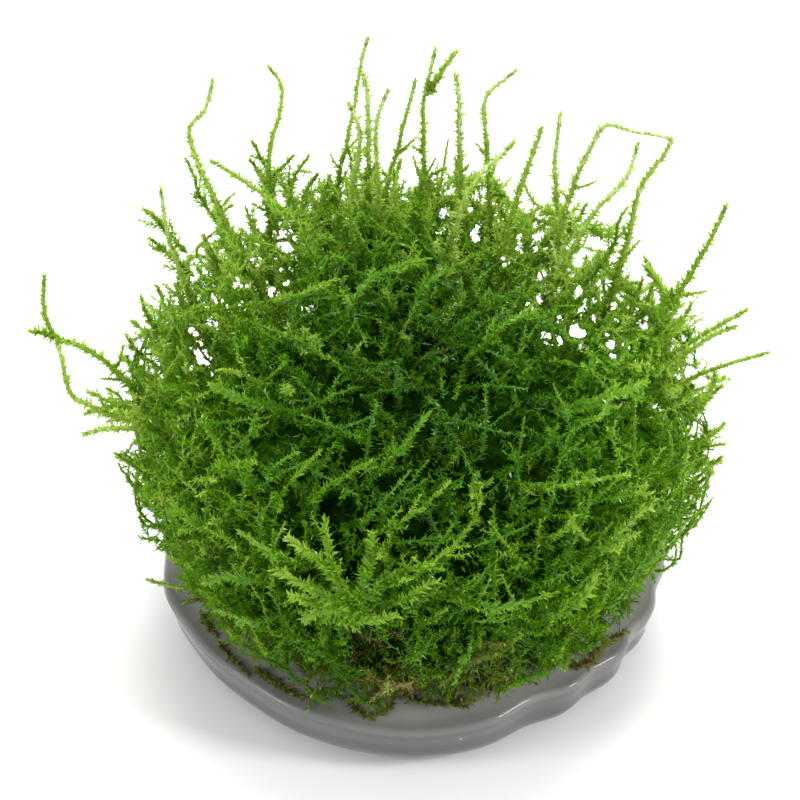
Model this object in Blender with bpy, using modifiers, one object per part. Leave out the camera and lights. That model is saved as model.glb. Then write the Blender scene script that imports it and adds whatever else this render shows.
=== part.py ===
"""Moss clump on a plug of clear growing gel: a cushion of leafy shoots with long single shoots around it."""

import math

import bmesh
import bpy
from mathutils import Vector, geometry, noise

MM = 0.001
MERGE_DISTANCE = 0.01 * MM

# Gel plug, as lifted out of its round growing cup
GEL_RADIUS = 32.5 * MM
GEL_HEIGHT = 10 * MM
GEL_RIM_ROUND = 0.8 * MM
GEL_WALL_FOOT_RADIUS = 31.5 * MM
GEL_FOOT_ROUND_WIDTH = 9 * MM
GEL_FOOT_ROUND_HEIGHT = 6 * MM
GEL_STEPS = 64
GEL_RIM_STEPS = 2
GEL_ROUND_STEPS = 5
GEL_SHARP_ANGLE = math.radians(50)

# Where the plug's side is out of round: angle from +X towards the front, depth of the dent, half width
GEL_DENTS = (
    (-10, 0.4 * MM, 8),
    (12, 0.6 * MM, 4),
    (28, 1.0 * MM, 4),
    (44, 1.1 * MM, 6),
    (61, 1.8 * MM, 9),
    (92, -0.4 * MM, 12),
    (133, 0.5 * MM, 10),
    (166, -0.7 * MM, 8),
)
DENT_FADE = 3

# Moss cushion: a flattened ball that stands on the gel, rooted in a ring just inside its rim
SEAM_GAP = 0.3 * MM
CUSHION_MIDDLE = Vector((0.3, 0, 30.3)) * MM
CUSHION_HALF_WIDTH = 37 * MM
CUSHION_HALF_DEPTH = 36 * MM
CUSHION_RISE = 27 * MM
CUSHION_DROP = 30 * MM
CUSHION_FULLNESS = 2.4
CUSHION_SUBDIVISIONS = 5

# Broad swellings and hollows of the cushion: direction from its middle, height, how wide
CUSHION_LOBES = (
    (Vector((-0.8, 0.3, 0.5)), 1.6 * MM, 0.45),
    (Vector((0.6, 0.3, 0.75)), -2.4 * MM, 0.45),
    (Vector((0.1, 0.2, 0.95)), -0.8 * MM, 0.3),
    (Vector((-0.8, -0.3, -0.5)), -1.4 * MM, 0.4),
    (Vector((0.75, -0.4, -0.5)), -1.2 * MM, 0.4),
    (Vector((0.1, 0.95, -0.1)), 1.2 * MM, 0.5),
    (Vector((0, -0.42, 0.9)), -4.5 * MM, 0.3),
    (Vector((0.25, 0.6, 0.75)), -2.6 * MM, 0.28),
    (Vector((-0.45, 0.55, 0.7)), 2.4 * MM, 0.25),
)
TUFT_HEIGHT = 4.6 * MM
TUFT_SCALE = 5.2
TUFT_SHARPNESS = 1.6
TUFT_SINK = 1.9 * MM
TUFT_LIFT = 0.35

# Thin shoulders on both sides of the crown's back, where the tufts stand apart: in parts of the direction
SHOULDER_ACROSS = 0.55
SHOULDER_WIDTH = 0.36
SHOULDER_FRONT = -0.25
SHOULDER_FOOT = 0.1
SHOULDER_FADE = 0.4
SHOULDER_GAP_DEPTH = 4.5 * MM

# Long shoots: leafy stems that thin out towards the tip
SHOOT_RADIUS = 0.62 * MM
SHOOT_TIP_SHARE = 0.45
SHOOT_TAPER_POWER = 2.5
SHOOT_POINT_SPACING = 2.6 * MM
SHOOT_FEWEST_SPANS = 4
SHOOT_SIDES_RESOLUTION = 1
SHOOT_SHARP_ANGLE = math.radians(60)
ROUTE_CURVE_STEPS = 9
HANDLE_SHARE = 1 / 6
ROOT_LENGTH = 9 * MM

# Shoots that fork off another shoot, so they have no root of their own
FORKED_SHOOTS = ("crown_shoot_10", "left_shoot_03")

# Each route runs from inside the cushion to the shoot's tip, in millimetres
CROWN_ROUTES = (
    ((-27.5, 8, 44), (-31, 12, 52.5), (-32, 15, 58.5)),
    ((-21, 12, 48), (-25, 15.5, 55.5), (-28.5, 20, 63), (-26.5, 22, 65.5), (-25.5, 24, 68.5)),
    ((-18.5, 18, 51), (-18.5, 21, 58.5), (-17, 24.5, 64), (-17, 26, 66.5), (-18.5, 27, 68.5)),
    ((-15, 12, 56), (-20.5, 15, 59), (-25.5, 18, 60.5)),
    ((-10.5, 22, 50), (-8, 26, 61.5), (-7, 28, 67.5), (-6, 29, 71.5)),
    ((-6, 18, 55), (-6, 20.5, 61.5), (-6, 22.5, 66.5), (-6.5, 24, 69.5)),
    ((-8.5, 16, 54), (-7, 19.5, 63.5), (-8.5, 20.5, 68)),
    ((-4.5, 15, 54), (-5, 19, 65), (-3.5, 21, 69.5)),
    ((1, 21, 52), (1, 24.5, 60.5), (1, 25.5, 64.5), (2.5, 28, 70.5)),
    ((2.3, 26, 65.8), (3, 26.6, 67.5), (5, 28, 70)),
    ((-3.5, 21, 54), (-1.5, 23.5, 62), (0, 25, 68)),
    ((6, 20, 52), (5.5, 23, 60), (5.5, 24.5, 65), (5, 26, 68)),
    ((9.5, 20, 52), (9, 22, 60), (8.8, 23.8, 66), (12.5, 25, 69.5)),
    ((4, 6, 54), (6.5, 8.8, 63.5), (12, 12, 68.5)),
    ((10.5, 9, 53), (13, 11.5, 61.5), (15.5, 14, 69)),
    ((18.5, 12, 51), (17.5, 16, 60), (18, 19, 67)),
    ((17.5, 10, 50), (19, 12, 59), (21.5, 13, 66.5), (23.5, 13.5, 70), (27, 14.2, 68.6), (31, 15, 67)),
    ((24, 8, 44), (26.5, 10.5, 53), (28, 13, 60), (31.4, 14.6, 65.3)),
    ((18, 7, 51), (22, 9.5, 59), (26, 11.5, 63), (27.5, 13, 67.5)),
)
LEFT_ROUTES = (
    ((-33, -3, 37), (-38, -1, 42.7), (-42, 0.3, 45.3), (-45, 1.6, 45.6), (-46.5, 2.8, 49), (-46.3, 4, 53.5)),
    ((-35.2, -5.6, 38.4), (-38.7, -4.8, 38.4), (-41.1, -3.6, 38.9), (-43.3, -2.5, 40), (-44.2, -0.9, 43.6)),
    ((-46.3, 1.2, 46.6), (-48, 0, 48)),
    ((-33, -8.5, 39), (-38, -8, 39), (-41.5, -7, 37)),
    ((-31, -5, 26), (-35, -7, 31), (-37.5, -8, 34.5)),
    ((-25, -9, 12), (-30, -9.5, 12.2), (-34, -9, 13)),
)
RIGHT_ROUTES = (
    ((29, 4, 43), (34, 6.5, 51), (37.5, 8.5, 58), (38.5, 9, 61)),
    ((31.5, 8, 41), (31, 10.5, 46), (29, 12, 49.5)),
    ((30, 0, 42), (36, 0.5, 47), (41, 1, 50.5)),
    ((30, -4.5, 45), (36, -4, 50.3), (39.5, -4, 52.5)),
    ((30, -4, 40.5), (36.5, -4, 45), (43.5, -4, 48)),
    ((32, -6, 24), (36, -6.5, 29.5), (38.5, -7, 33)),
    ((31, -9, 24), (34.5, -8.8, 29), (37, -9.5, 32.5)),
    ((33, -2, 26), (36.5, -2, 31), (39, -2, 34)),
)
BACK_ROUTES = (
    ((-17, 26, 22), (-22, 36, 27), (-25, 42, 27), (-27, 45, 23)),
    ((7, 29, 26), (10, 38, 30), (11, 44, 28)),
    ((-6, 29, 17), (-7, 38, 20), (-9, 44, 17)),
    ((21, 25, 19), (28, 33, 23), (32, 38, 22)),
    ((-28, 15, 20), (-36, 22, 21), (-39, 27, 19)),
    ((29, 13, 19), (37, 19, 20), (41, 24, 18)),
)

GEL_COLOUR = (0.36, 0.37, 0.33, 1)
GEL_ROUGHNESS = 0.15
CUSHION_COLOUR = (0.07, 0.19, 0.015, 1)
CUSHION_ROUGHNESS = 0.7
SHOOT_COLOUR = (0.16, 0.36, 0.03, 1)
SHOOT_ROUGHNESS = 0.6


def clear_scene():
    """Start with no objects at all."""
    for item in list(bpy.data.objects):
        bpy.data.objects.remove(item, do_unlink=True)


def new_collection(name):
    collection = bpy.data.collections.new(name)
    bpy.context.scene.collection.children.link(collection)
    return collection


def new_material(name, colour, roughness):
    """A plain finish for the sub-parts that are made of the same stuff."""
    material = bpy.data.materials.new(name)
    material.use_nodes = True
    shader = material.node_tree.nodes["Principled BSDF"]
    shader.inputs["Base Color"].default_value = colour
    shader.inputs["Roughness"].default_value = roughness
    shader.inputs["Metallic"].default_value = 0
    material.diffuse_color = colour
    return material


def new_object(name, mesh, collection):
    item = bpy.data.objects.new(name, mesh)
    collection.objects.link(item)
    return item


def evaluated_mesh(item):
    """The object's mesh with its modifiers, or its curve, worked out."""
    depsgraph = bpy.context.evaluated_depsgraph_get()
    return bpy.data.meshes.new_from_object(item.evaluated_get(depsgraph))


def quarter_round(outer_radius, level, width, height, steps):
    """A quarter ellipse in the XZ plane that joins a wall at the outer radius to a flat at the level."""
    points = []
    for step in range(steps + 1):
        angle = math.pi / 2 * step / steps
        radius = outer_radius - width * (1 - math.cos(angle))
        points.append((radius, level + height * (1 - math.sin(angle))))
    return points


def gel_profile():
    """Half section of the plug, from the middle of its top, down its side, to the middle of its foot."""
    rim = quarter_round(GEL_RADIUS, GEL_HEIGHT, GEL_RIM_ROUND, -GEL_RIM_ROUND, GEL_RIM_STEPS)
    width = GEL_FOOT_ROUND_WIDTH
    foot = quarter_round(GEL_WALL_FOOT_RADIUS, 0, width, GEL_FOOT_ROUND_HEIGHT, GEL_ROUND_STEPS)
    return [(0, GEL_HEIGHT), *rim[::-1], *foot, (0, 0)]


def dent_depth(angle):
    """How far the torn side is pushed in, at an angle in degrees from +X towards the front."""
    return sum(depth * math.exp(-(((angle - place) / width) ** 2)) for place, depth, width in GEL_DENTS)


def build_gel_plug(collection, material):
    """The turned plug with its dented side; its foot stays flat."""
    profile = bmesh.new()
    previous = None
    for radius, height in gel_profile():
        point = profile.verts.new((radius, 0, height))
        if previous is not None:
            profile.edges.new((previous, point))
        previous = point
    outline = bpy.data.meshes.new("gel_outline")
    profile.to_mesh(outline)
    profile.free()
    turned = new_object("gel_turned", outline, collection)
    screw = turned.modifiers.new("turn", "SCREW")
    screw.steps = GEL_STEPS
    screw.render_steps = GEL_STEPS
    screw.use_merge_vertices = True
    screw.merge_threshold = MERGE_DISTANCE
    mesh = evaluated_mesh(turned)
    bpy.data.objects.remove(turned, do_unlink=True)
    for vertex in mesh.vertices:
        radius = math.hypot(vertex.co.x, vertex.co.y)
        if radius == 0:
            continue
        angle = math.degrees(math.atan2(-vertex.co.y, vertex.co.x))
        pushed = radius - dent_depth(angle) * (radius / GEL_RADIUS) ** DENT_FADE
        vertex.co.x *= pushed / radius
        vertex.co.y *= pushed / radius
    mesh.shade_smooth()
    mesh.set_sharp_from_angle(angle=GEL_SHARP_ANGLE)
    mesh.materials.clear()
    mesh.materials.append(material)
    return new_object("gel_plug", mesh, collection)


def shoulder_share(direction):
    """From 0 to 1, how far a direction points at the thin shoulders."""
    across = math.exp(-(((abs(direction.x) - SHOULDER_ACROSS) / SHOULDER_WIDTH) ** 2))
    behind = min(1, max(0, (direction.y - SHOULDER_FRONT) / SHOULDER_FADE))
    above = min(1, max(0, (direction.z - SHOULDER_FOOT) / SHOULDER_FADE))
    return across * behind * above


def cushion_point(direction, spare):
    """A point of the cushion's tufted surface, with some spare beyond it, in a direction from its middle."""
    across = math.hypot(direction.x / CUSHION_HALF_WIDTH, direction.y / CUSHION_HALF_DEPTH)
    upward = abs(direction.z) / (CUSHION_RISE if direction.z > 0 else CUSHION_DROP)
    reach = (across**CUSHION_FULLNESS + upward**CUSHION_FULLNESS) ** (-1 / CUSHION_FULLNESS)
    for centre, height, width in CUSHION_LOBES:
        away = (direction - centre.normalized()).length
        reach += height * math.exp(-((away / width) ** 2))
    to_tuft = noise.voronoi(direction * TUFT_SCALE)[0][0]
    gap_depth = SHOULDER_GAP_DEPTH * shoulder_share(direction)
    tuft = (TUFT_HEIGHT + gap_depth) * max(0, 1 - TUFT_SHARPNESS * to_tuft)
    lean = (direction + Vector((0, 0, TUFT_LIFT))).normalized()
    return CUSHION_MIDDLE + direction * (reach - TUFT_SINK - gap_depth + spare) + lean * tuft


def cushion_mesh(name, spare):
    """The cushion as a closed mesh, cut flat where it stands on the gel."""
    ball = bmesh.new()
    bmesh.ops.create_icosphere(ball, subdivisions=CUSHION_SUBDIVISIONS, radius=1)
    for vertex in ball.verts:
        vertex.co = cushion_point(vertex.co.normalized(), spare)
    seat = Vector((0, 0, GEL_HEIGHT + SEAM_GAP - spare))
    everything = ball.verts[:] + ball.edges[:] + ball.faces[:]
    bmesh.ops.bisect_plane(ball, geom=everything, plane_co=seat, plane_no=(0, 0, 1), clear_inner=True)
    bmesh.ops.remove_doubles(ball, verts=ball.verts, dist=MERGE_DISTANCE)
    bmesh.ops.holes_fill(ball, edges=[edge for edge in ball.edges if edge.is_boundary])
    bmesh.ops.recalc_face_normals(ball, faces=ball.faces)
    mesh = bpy.data.meshes.new(name)
    ball.to_mesh(mesh)
    ball.free()
    return mesh


def build_moss_cushion(collection, material):
    mesh = cushion_mesh("moss_cushion", 0)
    mesh.materials.append(material)
    return new_object("moss_cushion", mesh, collection)


def build_cushion_cutter(collection):
    """The cushion grown by the seam's gap, which trims the shoots' roots."""
    cutter = new_object("cushion_cutter", cushion_mesh("cushion_cutter", SEAM_GAP), collection)
    cutter.hide_render = True
    cutter.display_type = "WIRE"
    return cutter


def smooth_route(route, root_length):
    """Evenly spaced points on a smooth curve: a straight root, then the route given in millimetres."""
    knots = [Vector(point) * MM for point in route]
    if root_length > 0:
        knots.insert(0, knots[0] + (knots[0] - knots[1]).normalized() * root_length)
    ends = [knots[0] * 2 - knots[1], *knots, knots[-1] * 2 - knots[-2]]
    fine = []
    for index in range(1, len(ends) - 2):
        before, start, end, after = ends[index - 1 : index + 3]
        handle_out = start + (end - before) * HANDLE_SHARE
        handle_in = end - (after - start) * HANDLE_SHARE
        fine += geometry.interpolate_bezier(start, handle_out, handle_in, end, ROUTE_CURVE_STEPS)[:-1]
    fine.append(knots[-1])
    length = sum((b - a).length for a, b in zip(fine, fine[1:]))
    count = max(SHOOT_FEWEST_SPANS, round(length / SHOOT_POINT_SPACING))
    spaced = [fine[0]]
    walked = 0
    for a, b in zip(fine, fine[1:]):
        step = (b - a).length
        while walked + step >= length * len(spaced) / count and len(spaced) < count:
            share = (length * len(spaced) / count - walked) / step
            spaced.append(a.lerp(b, share))
        walked += step
    spaced.append(fine[-1])
    return spaced


def keep_tip(mesh, tip):
    """Delete any crumb that the trimming left apart from the piece that holds the tip."""
    solid = bmesh.new()
    solid.from_mesh(mesh)
    bmesh.ops.remove_doubles(solid, verts=solid.verts, dist=MERGE_DISTANCE)
    start = min(solid.verts, key=lambda vertex: (vertex.co - tip).length)
    kept = {start}
    waiting = [start]
    while waiting:
        vertex = waiting.pop()
        for edge in vertex.link_edges:
            other = edge.other_vert(vertex)
            if other not in kept:
                kept.add(other)
                waiting.append(other)
    crumbs = [vertex for vertex in solid.verts if vertex not in kept]
    bmesh.ops.delete(solid, geom=crumbs, context="VERTS")
    solid.to_mesh(mesh)
    solid.free()


def build_shoot(name, route, collection, material, cutter):
    """One leafy stem: a tapering tube along its route, trimmed just clear of the cushion."""
    points = smooth_route(route, 0 if name in FORKED_SHOOTS else ROOT_LENGTH)
    curve = bpy.data.curves.new(name, "CURVE")
    curve.dimensions = "3D"
    curve.bevel_depth = SHOOT_RADIUS
    curve.bevel_resolution = SHOOT_SIDES_RESOLUTION
    curve.use_fill_caps = True
    spline = curve.splines.new("POLY")
    spline.points.add(len(points) - 1)
    for index, point in enumerate(points):
        share = index / (len(points) - 1)
        spline.points[index].co = (*point, 1)
        spline.points[index].radius = 1 - (1 - SHOOT_TIP_SHARE) * share**SHOOT_TAPER_POWER
    tube = new_object(name + "_tube", curve, collection)
    mesh = evaluated_mesh(tube)
    bpy.data.objects.remove(tube, do_unlink=True)
    weld_caps(mesh)
    untrimmed = new_object(name + "_untrimmed", mesh, collection)
    trim = untrimmed.modifiers.new("trim", "BOOLEAN")
    trim.operation = "DIFFERENCE"
    trim.solver = "EXACT"
    trim.object = cutter
    trimmed = evaluated_mesh(untrimmed)
    bpy.data.objects.remove(untrimmed, do_unlink=True)
    keep_tip(trimmed, points[-1])
    trimmed.shade_smooth()
    trimmed.set_sharp_from_angle(angle=SHOOT_SHARP_ANGLE)
    trimmed.materials.clear()
    trimmed.materials.append(material)
    return new_object(name, trimmed, collection)


def weld_caps(mesh):
    """Join a tube's loose end caps to its side."""
    solid = bmesh.new()
    solid.from_mesh(mesh)
    bmesh.ops.remove_doubles(solid, verts=solid.verts, dist=MERGE_DISTANCE)
    bmesh.ops.recalc_face_normals(solid, faces=solid.faces)
    solid.to_mesh(mesh)
    solid.free()


def build_shoots(family, routes, collection, material, cutter):
    for number, route in enumerate(routes, 1):
        build_shoot(f"{family}_shoot_{number:02d}", route, collection, material, cutter)


def main():
    clear_scene()
    clump = new_collection("moss_clump")
    cutters = new_collection("cutters")
    gel = new_material("growing_gel", GEL_COLOUR, GEL_ROUGHNESS)
    dense_moss = new_material("dense_moss", CUSHION_COLOUR, CUSHION_ROUGHNESS)
    fresh_moss = new_material("fresh_moss", SHOOT_COLOUR, SHOOT_ROUGHNESS)
    build_gel_plug(clump, gel)
    build_moss_cushion(clump, dense_moss)
    cutter = build_cushion_cutter(cutters)
    build_shoots("crown", CROWN_ROUTES, clump, fresh_moss, cutter)
    build_shoots("left", LEFT_ROUTES, clump, fresh_moss, cutter)
    build_shoots("right", RIGHT_ROUTES, clump, fresh_moss, cutter)
    build_shoots("back", BACK_ROUTES, clump, fresh_moss, cutter)


main()
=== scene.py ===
# Moss clump on a plug of clear growing gel: leaves, stems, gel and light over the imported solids.

import math

import bmesh
import bpy
import numpy as np
from mathutils import Matrix, Vector, geometry, noise
from mathutils.bvhtree import BVHTree


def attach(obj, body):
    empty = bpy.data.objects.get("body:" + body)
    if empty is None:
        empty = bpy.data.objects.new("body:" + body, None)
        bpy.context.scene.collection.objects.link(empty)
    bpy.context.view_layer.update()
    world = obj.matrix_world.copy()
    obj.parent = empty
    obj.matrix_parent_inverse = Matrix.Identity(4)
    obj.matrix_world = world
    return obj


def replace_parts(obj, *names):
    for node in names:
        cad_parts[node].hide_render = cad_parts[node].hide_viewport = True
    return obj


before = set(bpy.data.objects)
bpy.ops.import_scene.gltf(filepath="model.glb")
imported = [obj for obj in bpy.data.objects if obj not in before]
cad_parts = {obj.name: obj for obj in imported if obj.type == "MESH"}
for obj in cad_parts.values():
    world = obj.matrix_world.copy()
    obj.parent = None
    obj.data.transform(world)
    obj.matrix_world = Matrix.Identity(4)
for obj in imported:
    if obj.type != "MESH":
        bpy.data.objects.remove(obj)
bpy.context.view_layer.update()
print("frame loaded:", len(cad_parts), "solids")

mm = 0.001
scene = bpy.context.scene
random = np.random.default_rng(20)
noise.seed_set(20)


# Camera, floor and light

camera = {
    "target": (-1.97, 0, 36.3),  # mm
    "elevation": 43,  # degrees above the floor
    "distance": 600,  # mm
    "lens": 213.66,  # mm on a 36 mm sensor
}

studio = {
    "floorSize": 4,  # m
    "floorColour": (0.93, 0.93, 0.92, 1),
    "skyStrength": 0.7,
    "topLight": {"place": (0.05, 0.2, 0.8), "size": 0.4, "watts": 5.5},
    "leftLight": {"place": (-0.75, -0.35, 0.45), "size": 0.3, "watts": 3.5},
    "rightLight": {"place": (0.75, -0.3, 0.5), "size": 0.2, "watts": 5.2},
    "backLight": {"place": (0.05, 0.8, 0.3), "size": 0.6, "watts": 4.5},
}


def addObject(name, data):
    item = bpy.data.objects.new(name, data)
    scene.collection.objects.link(item)
    return item


def addCamera():
    data = bpy.data.cameras.new("camera")
    data.lens = camera["lens"]
    data.sensor_width = 36
    data.clip_start = 0.01
    data.clip_end = 20
    item = addObject("camera", data)
    tilt = math.radians(camera["elevation"])
    back = Vector((0, -math.cos(tilt), math.sin(tilt)))
    item.location = (Vector(camera["target"]) + back * camera["distance"]) * mm
    item.rotation_euler = (math.pi / 2 - tilt, 0, 0)
    scene.camera = item


def addAreaLight(name, setting):
    data = bpy.data.lights.new(name, "AREA")
    data.size = setting["size"]
    data.energy = setting["watts"]
    item = addObject(name, data)
    item.location = setting["place"]
    aim = Vector(camera["target"]) * mm - item.location
    item.rotation_euler = aim.to_track_quat("-Z", "Y").to_euler()


class Wire:
    # A node's output that takes part in sums: 1 - wire adds a Math node
    def __init__(self, sheet, socket):
        self.sheet = sheet
        self.socket = socket

    def maths(self, operation, first, second):
        return self.sheet.node("ShaderNodeMath", {"operation": operation}, {0: first, 1: second})

    def __add__(self, other):
        return self.maths("ADD", self, other)

    def __radd__(self, other):
        return self.maths("ADD", other, self)

    def __sub__(self, other):
        return self.maths("SUBTRACT", self, other)

    def __rsub__(self, other):
        return self.maths("SUBTRACT", other, self)

    def __mul__(self, other):
        return self.maths("MULTIPLY", self, other)

    def __rmul__(self, other):
        return self.maths("MULTIPLY", other, self)


class Sheet:
    # One material's node tree
    def __init__(self, name):
        self.material = bpy.data.materials.new(name)
        self.material.use_nodes = True
        self.tree = self.material.node_tree
        self.tree.nodes.clear()

    def node(self, kind, settings=None, values=None, output=0):
        made = self.tree.nodes.new(kind)
        for name, setting in (settings or {}).items():
            if name == "stops":
                fillRamp(made.color_ramp, setting)
            else:
                setattr(made, name, setting)
        for name, value in (values or {}).items():
            if isinstance(value, Wire):
                self.tree.links.new(value.socket, made.inputs[name])
            else:
                made.inputs[name].default_value = value
        return Wire(self, made.outputs[output])

    def finish(self, surface, volume=None):
        out = self.tree.nodes.new("ShaderNodeOutputMaterial")
        self.tree.links.new(surface.socket, out.inputs["Surface"])
        if volume:
            self.tree.links.new(volume.socket, out.inputs["Volume"])
        return self.material


def fillRamp(ramp, stops):
    while len(ramp.elements) < len(stops):
        ramp.elements.new(1)
    for element, (place, colour) in zip(ramp.elements, stops):
        element.position = place
        element.color = (*colour, 1)


def addFloor():
    half = studio["floorSize"] / 2
    mesh = bpy.data.meshes.new("floor")
    mesh.from_pydata([(-half, -half, 0), (half, -half, 0), (half, half, 0), (-half, half, 0)], [], [range(4)])
    sheet = Sheet("pale floor")
    values = {"Base Color": studio["floorColour"], "Roughness": 0.9}
    mesh.materials.append(sheet.finish(sheet.node("ShaderNodeBsdfPrincipled", None, values)))
    addObject("floor", mesh)


def addStudio():
    addCamera()
    addFloor()
    for name in ("topLight", "leftLight", "rightLight", "backLight"):
        addAreaLight(name, studio[name])
    world = bpy.data.worlds.new("soft room")
    world.use_nodes = True
    sky = world.node_tree.nodes["Background"]
    sky.inputs["Color"].default_value = (1, 1, 1, 1)
    sky.inputs["Strength"].default_value = studio["skyStrength"]
    scene.world = world
    scene.view_settings.view_transform = "Standard"
    print("studio ready")


def addPiece(name, mesh, finish):
    mesh.materials.append(finish)
    item = addObject(name, mesh)
    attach(item, "root")
    return item


# Finishes

# The leaf palette, from old brown growth to pale leaf tips: each colour's place and the colour
palette = {
    "brown": (0.03, (0.060, 0.036, 0.010)),
    "straw": (0.12, (0.215, 0.165, 0.036)),
    "olive": (0.22, (0.130, 0.140, 0.012)),
    "dark": (0.40, (0.013, 0.088, 0.002)),
    "green": (0.60, (0.078, 0.240, 0.006)),
    "bright": (0.78, (0.240, 0.430, 0.022)),
    "lemon": (0.90, (0.430, 0.590, 0.090)),
    "pale": (0.99, (0.740, 0.860, 0.480)),
}

leafFinish = {
    "dense": {"name": "dense moss leaves", "light": (0.26, 0.56, 0.014), "through": 0.50, "gloss": 0.3},
    "fresh": {"name": "fresh moss leaves", "light": (0.56, 0.76, 0.12), "through": 0.60, "gloss": 0.3},
    "face": {"name": "moss leaves of the face", "light": (0.36, 0.66, 0.045), "through": 0.52, "gloss": 0.28},
    "old": {"name": "old moss growth", "light": (0.28, 0.34, 0.03), "through": 0.40, "gloss": 0.4},
}


def leafMaterial(setting):
    sheet = Sheet(setting["name"])
    place = sheet.node("ShaderNodeUVMap", {"uv_map": "OFBake"})
    tint = sheet.node("ShaderNodeSeparateXYZ", None, {0: place}, "X")
    along = sheet.node("ShaderNodeSeparateXYZ", None, {0: place}, "Y")
    stops = palette.values()
    values = {
        "Base Color": sheet.node("ShaderNodeValToRGB", {"stops": stops}, {0: tint + along * 0.06 - 0.02}),
        "Roughness": setting["gloss"] + 0.12 * along,
        "IOR": 1.4,
        "Specular IOR Level": 0.25,
        "Coat Weight": 0.25,
        "Coat Roughness": 0.08,
    }
    leaf = sheet.node("ShaderNodeBsdfPrincipled", None, values)
    glow = sheet.node("ShaderNodeBsdfTranslucent", None, {"Color": (*setting["light"], 1)})
    thin = tint * (2.1 - tint * 1.6) * setting["through"]
    return sheet.finish(sheet.node("ShaderNodeMixShader", None, {0: thin, 1: leaf, 2: glow}))


# Stems and leaves

# Leaf length, width and spacing in mm, degrees off the stem, further degrees at the tip, wobble round it;
# every which one lies on the face, how flat they lie, how much smaller to the tip, and the tint's scatter
leafTraits = ("length", "width", "spacing", "spread", "bend", "wobble", "face", "flat", "taper", "scatter")
leafSizes = {
    "mass": (0.98, 0.34, 0.146, 33, 40, 34, 3, 0.45, 0.3, 0.05),
    "scale": (0.85, 0.52, 0.165, 20, 12, 60, 2, 0.3, 0.5, 0.08),
    "hook": (1.05, 0.33, 0.27, 44, 44, 22, 7, 0.7, 0.5, 0.09),
    "frond": (1.15, 0.28, 0.078, 34, 38, 34, 3, 0.55, 0.35, 0.07),
    "plume": (1.25, 0.42, 0.085, 40, 26, 18, 4, 0.85, 0.35, 0.04),
    "bud": (0.9, 0.40, 0.1, 14, -12, 60, 2, 0.0, 0.3, 0.05),
}
leafManner = {
    "widest": 0.45,  # share of the length where a leaf is widest
    "faceTurn": 55,  # degrees of scatter for the leaves on the face
    "spreadScatter": 9,
    "bendScatter": 14,
    "closing": 0.5,  # how much closer to the stem the last leaves lie
    "scale": (0.7, 1.2),
    "darkest": 0.38,  # green leaves scatter no further towards the old growth's colours
}
stemSides = np.array(((0, 1, 4, 3), (1, 2, 5, 4), (2, 0, 3, 5)))  # corners in two rings of three


def clamp(value):
    return max(0.0, min(1.0, value))


def unit(vectors):
    # The same directions with length one
    return vectors / np.maximum(np.linalg.norm(vectors, axis=-1, keepdims=True), 1e-9)


def pathLengths(points):
    # The way along a path to each of its points
    return np.concatenate(([0], np.cumsum(np.linalg.norm(np.diff(points, axis=0), axis=1))))


def resample(points, along, places):
    # Rows of points taken at places along them
    return np.stack([np.interp(places, along, points[:, axis]) for axis in range(3)], axis=1)


def curvePoints(start, handle, end, count):
    # A curve from start to end that leaves towards the handle
    share = np.linspace(0, 1, count)[:, None]
    return (1 - share) ** 2 * start + 2 * share * (1 - share) * handle + share**2 * end


def stemFrame(tangent, facing):
    # The face's direction and the sideways one, square to a stem
    normal = unit(facing - (tangent @ facing)[:, None] * tangent)
    return normal, np.cross(tangent, normal)


def forkOff(points, row, facing, sign, along, aside, scatter=0):
    # Headings of a side shoot, to one side (1) or the other (-1), and of the stem there
    tangent = unit(points[row + 1] - points[row])
    lean = along * tangent + aside * (unit(np.cross(tangent, facing)) * sign)
    if scatter:
        lean = lean + random.normal(0, scatter, 3)
    return unit(lean), tangent


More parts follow.
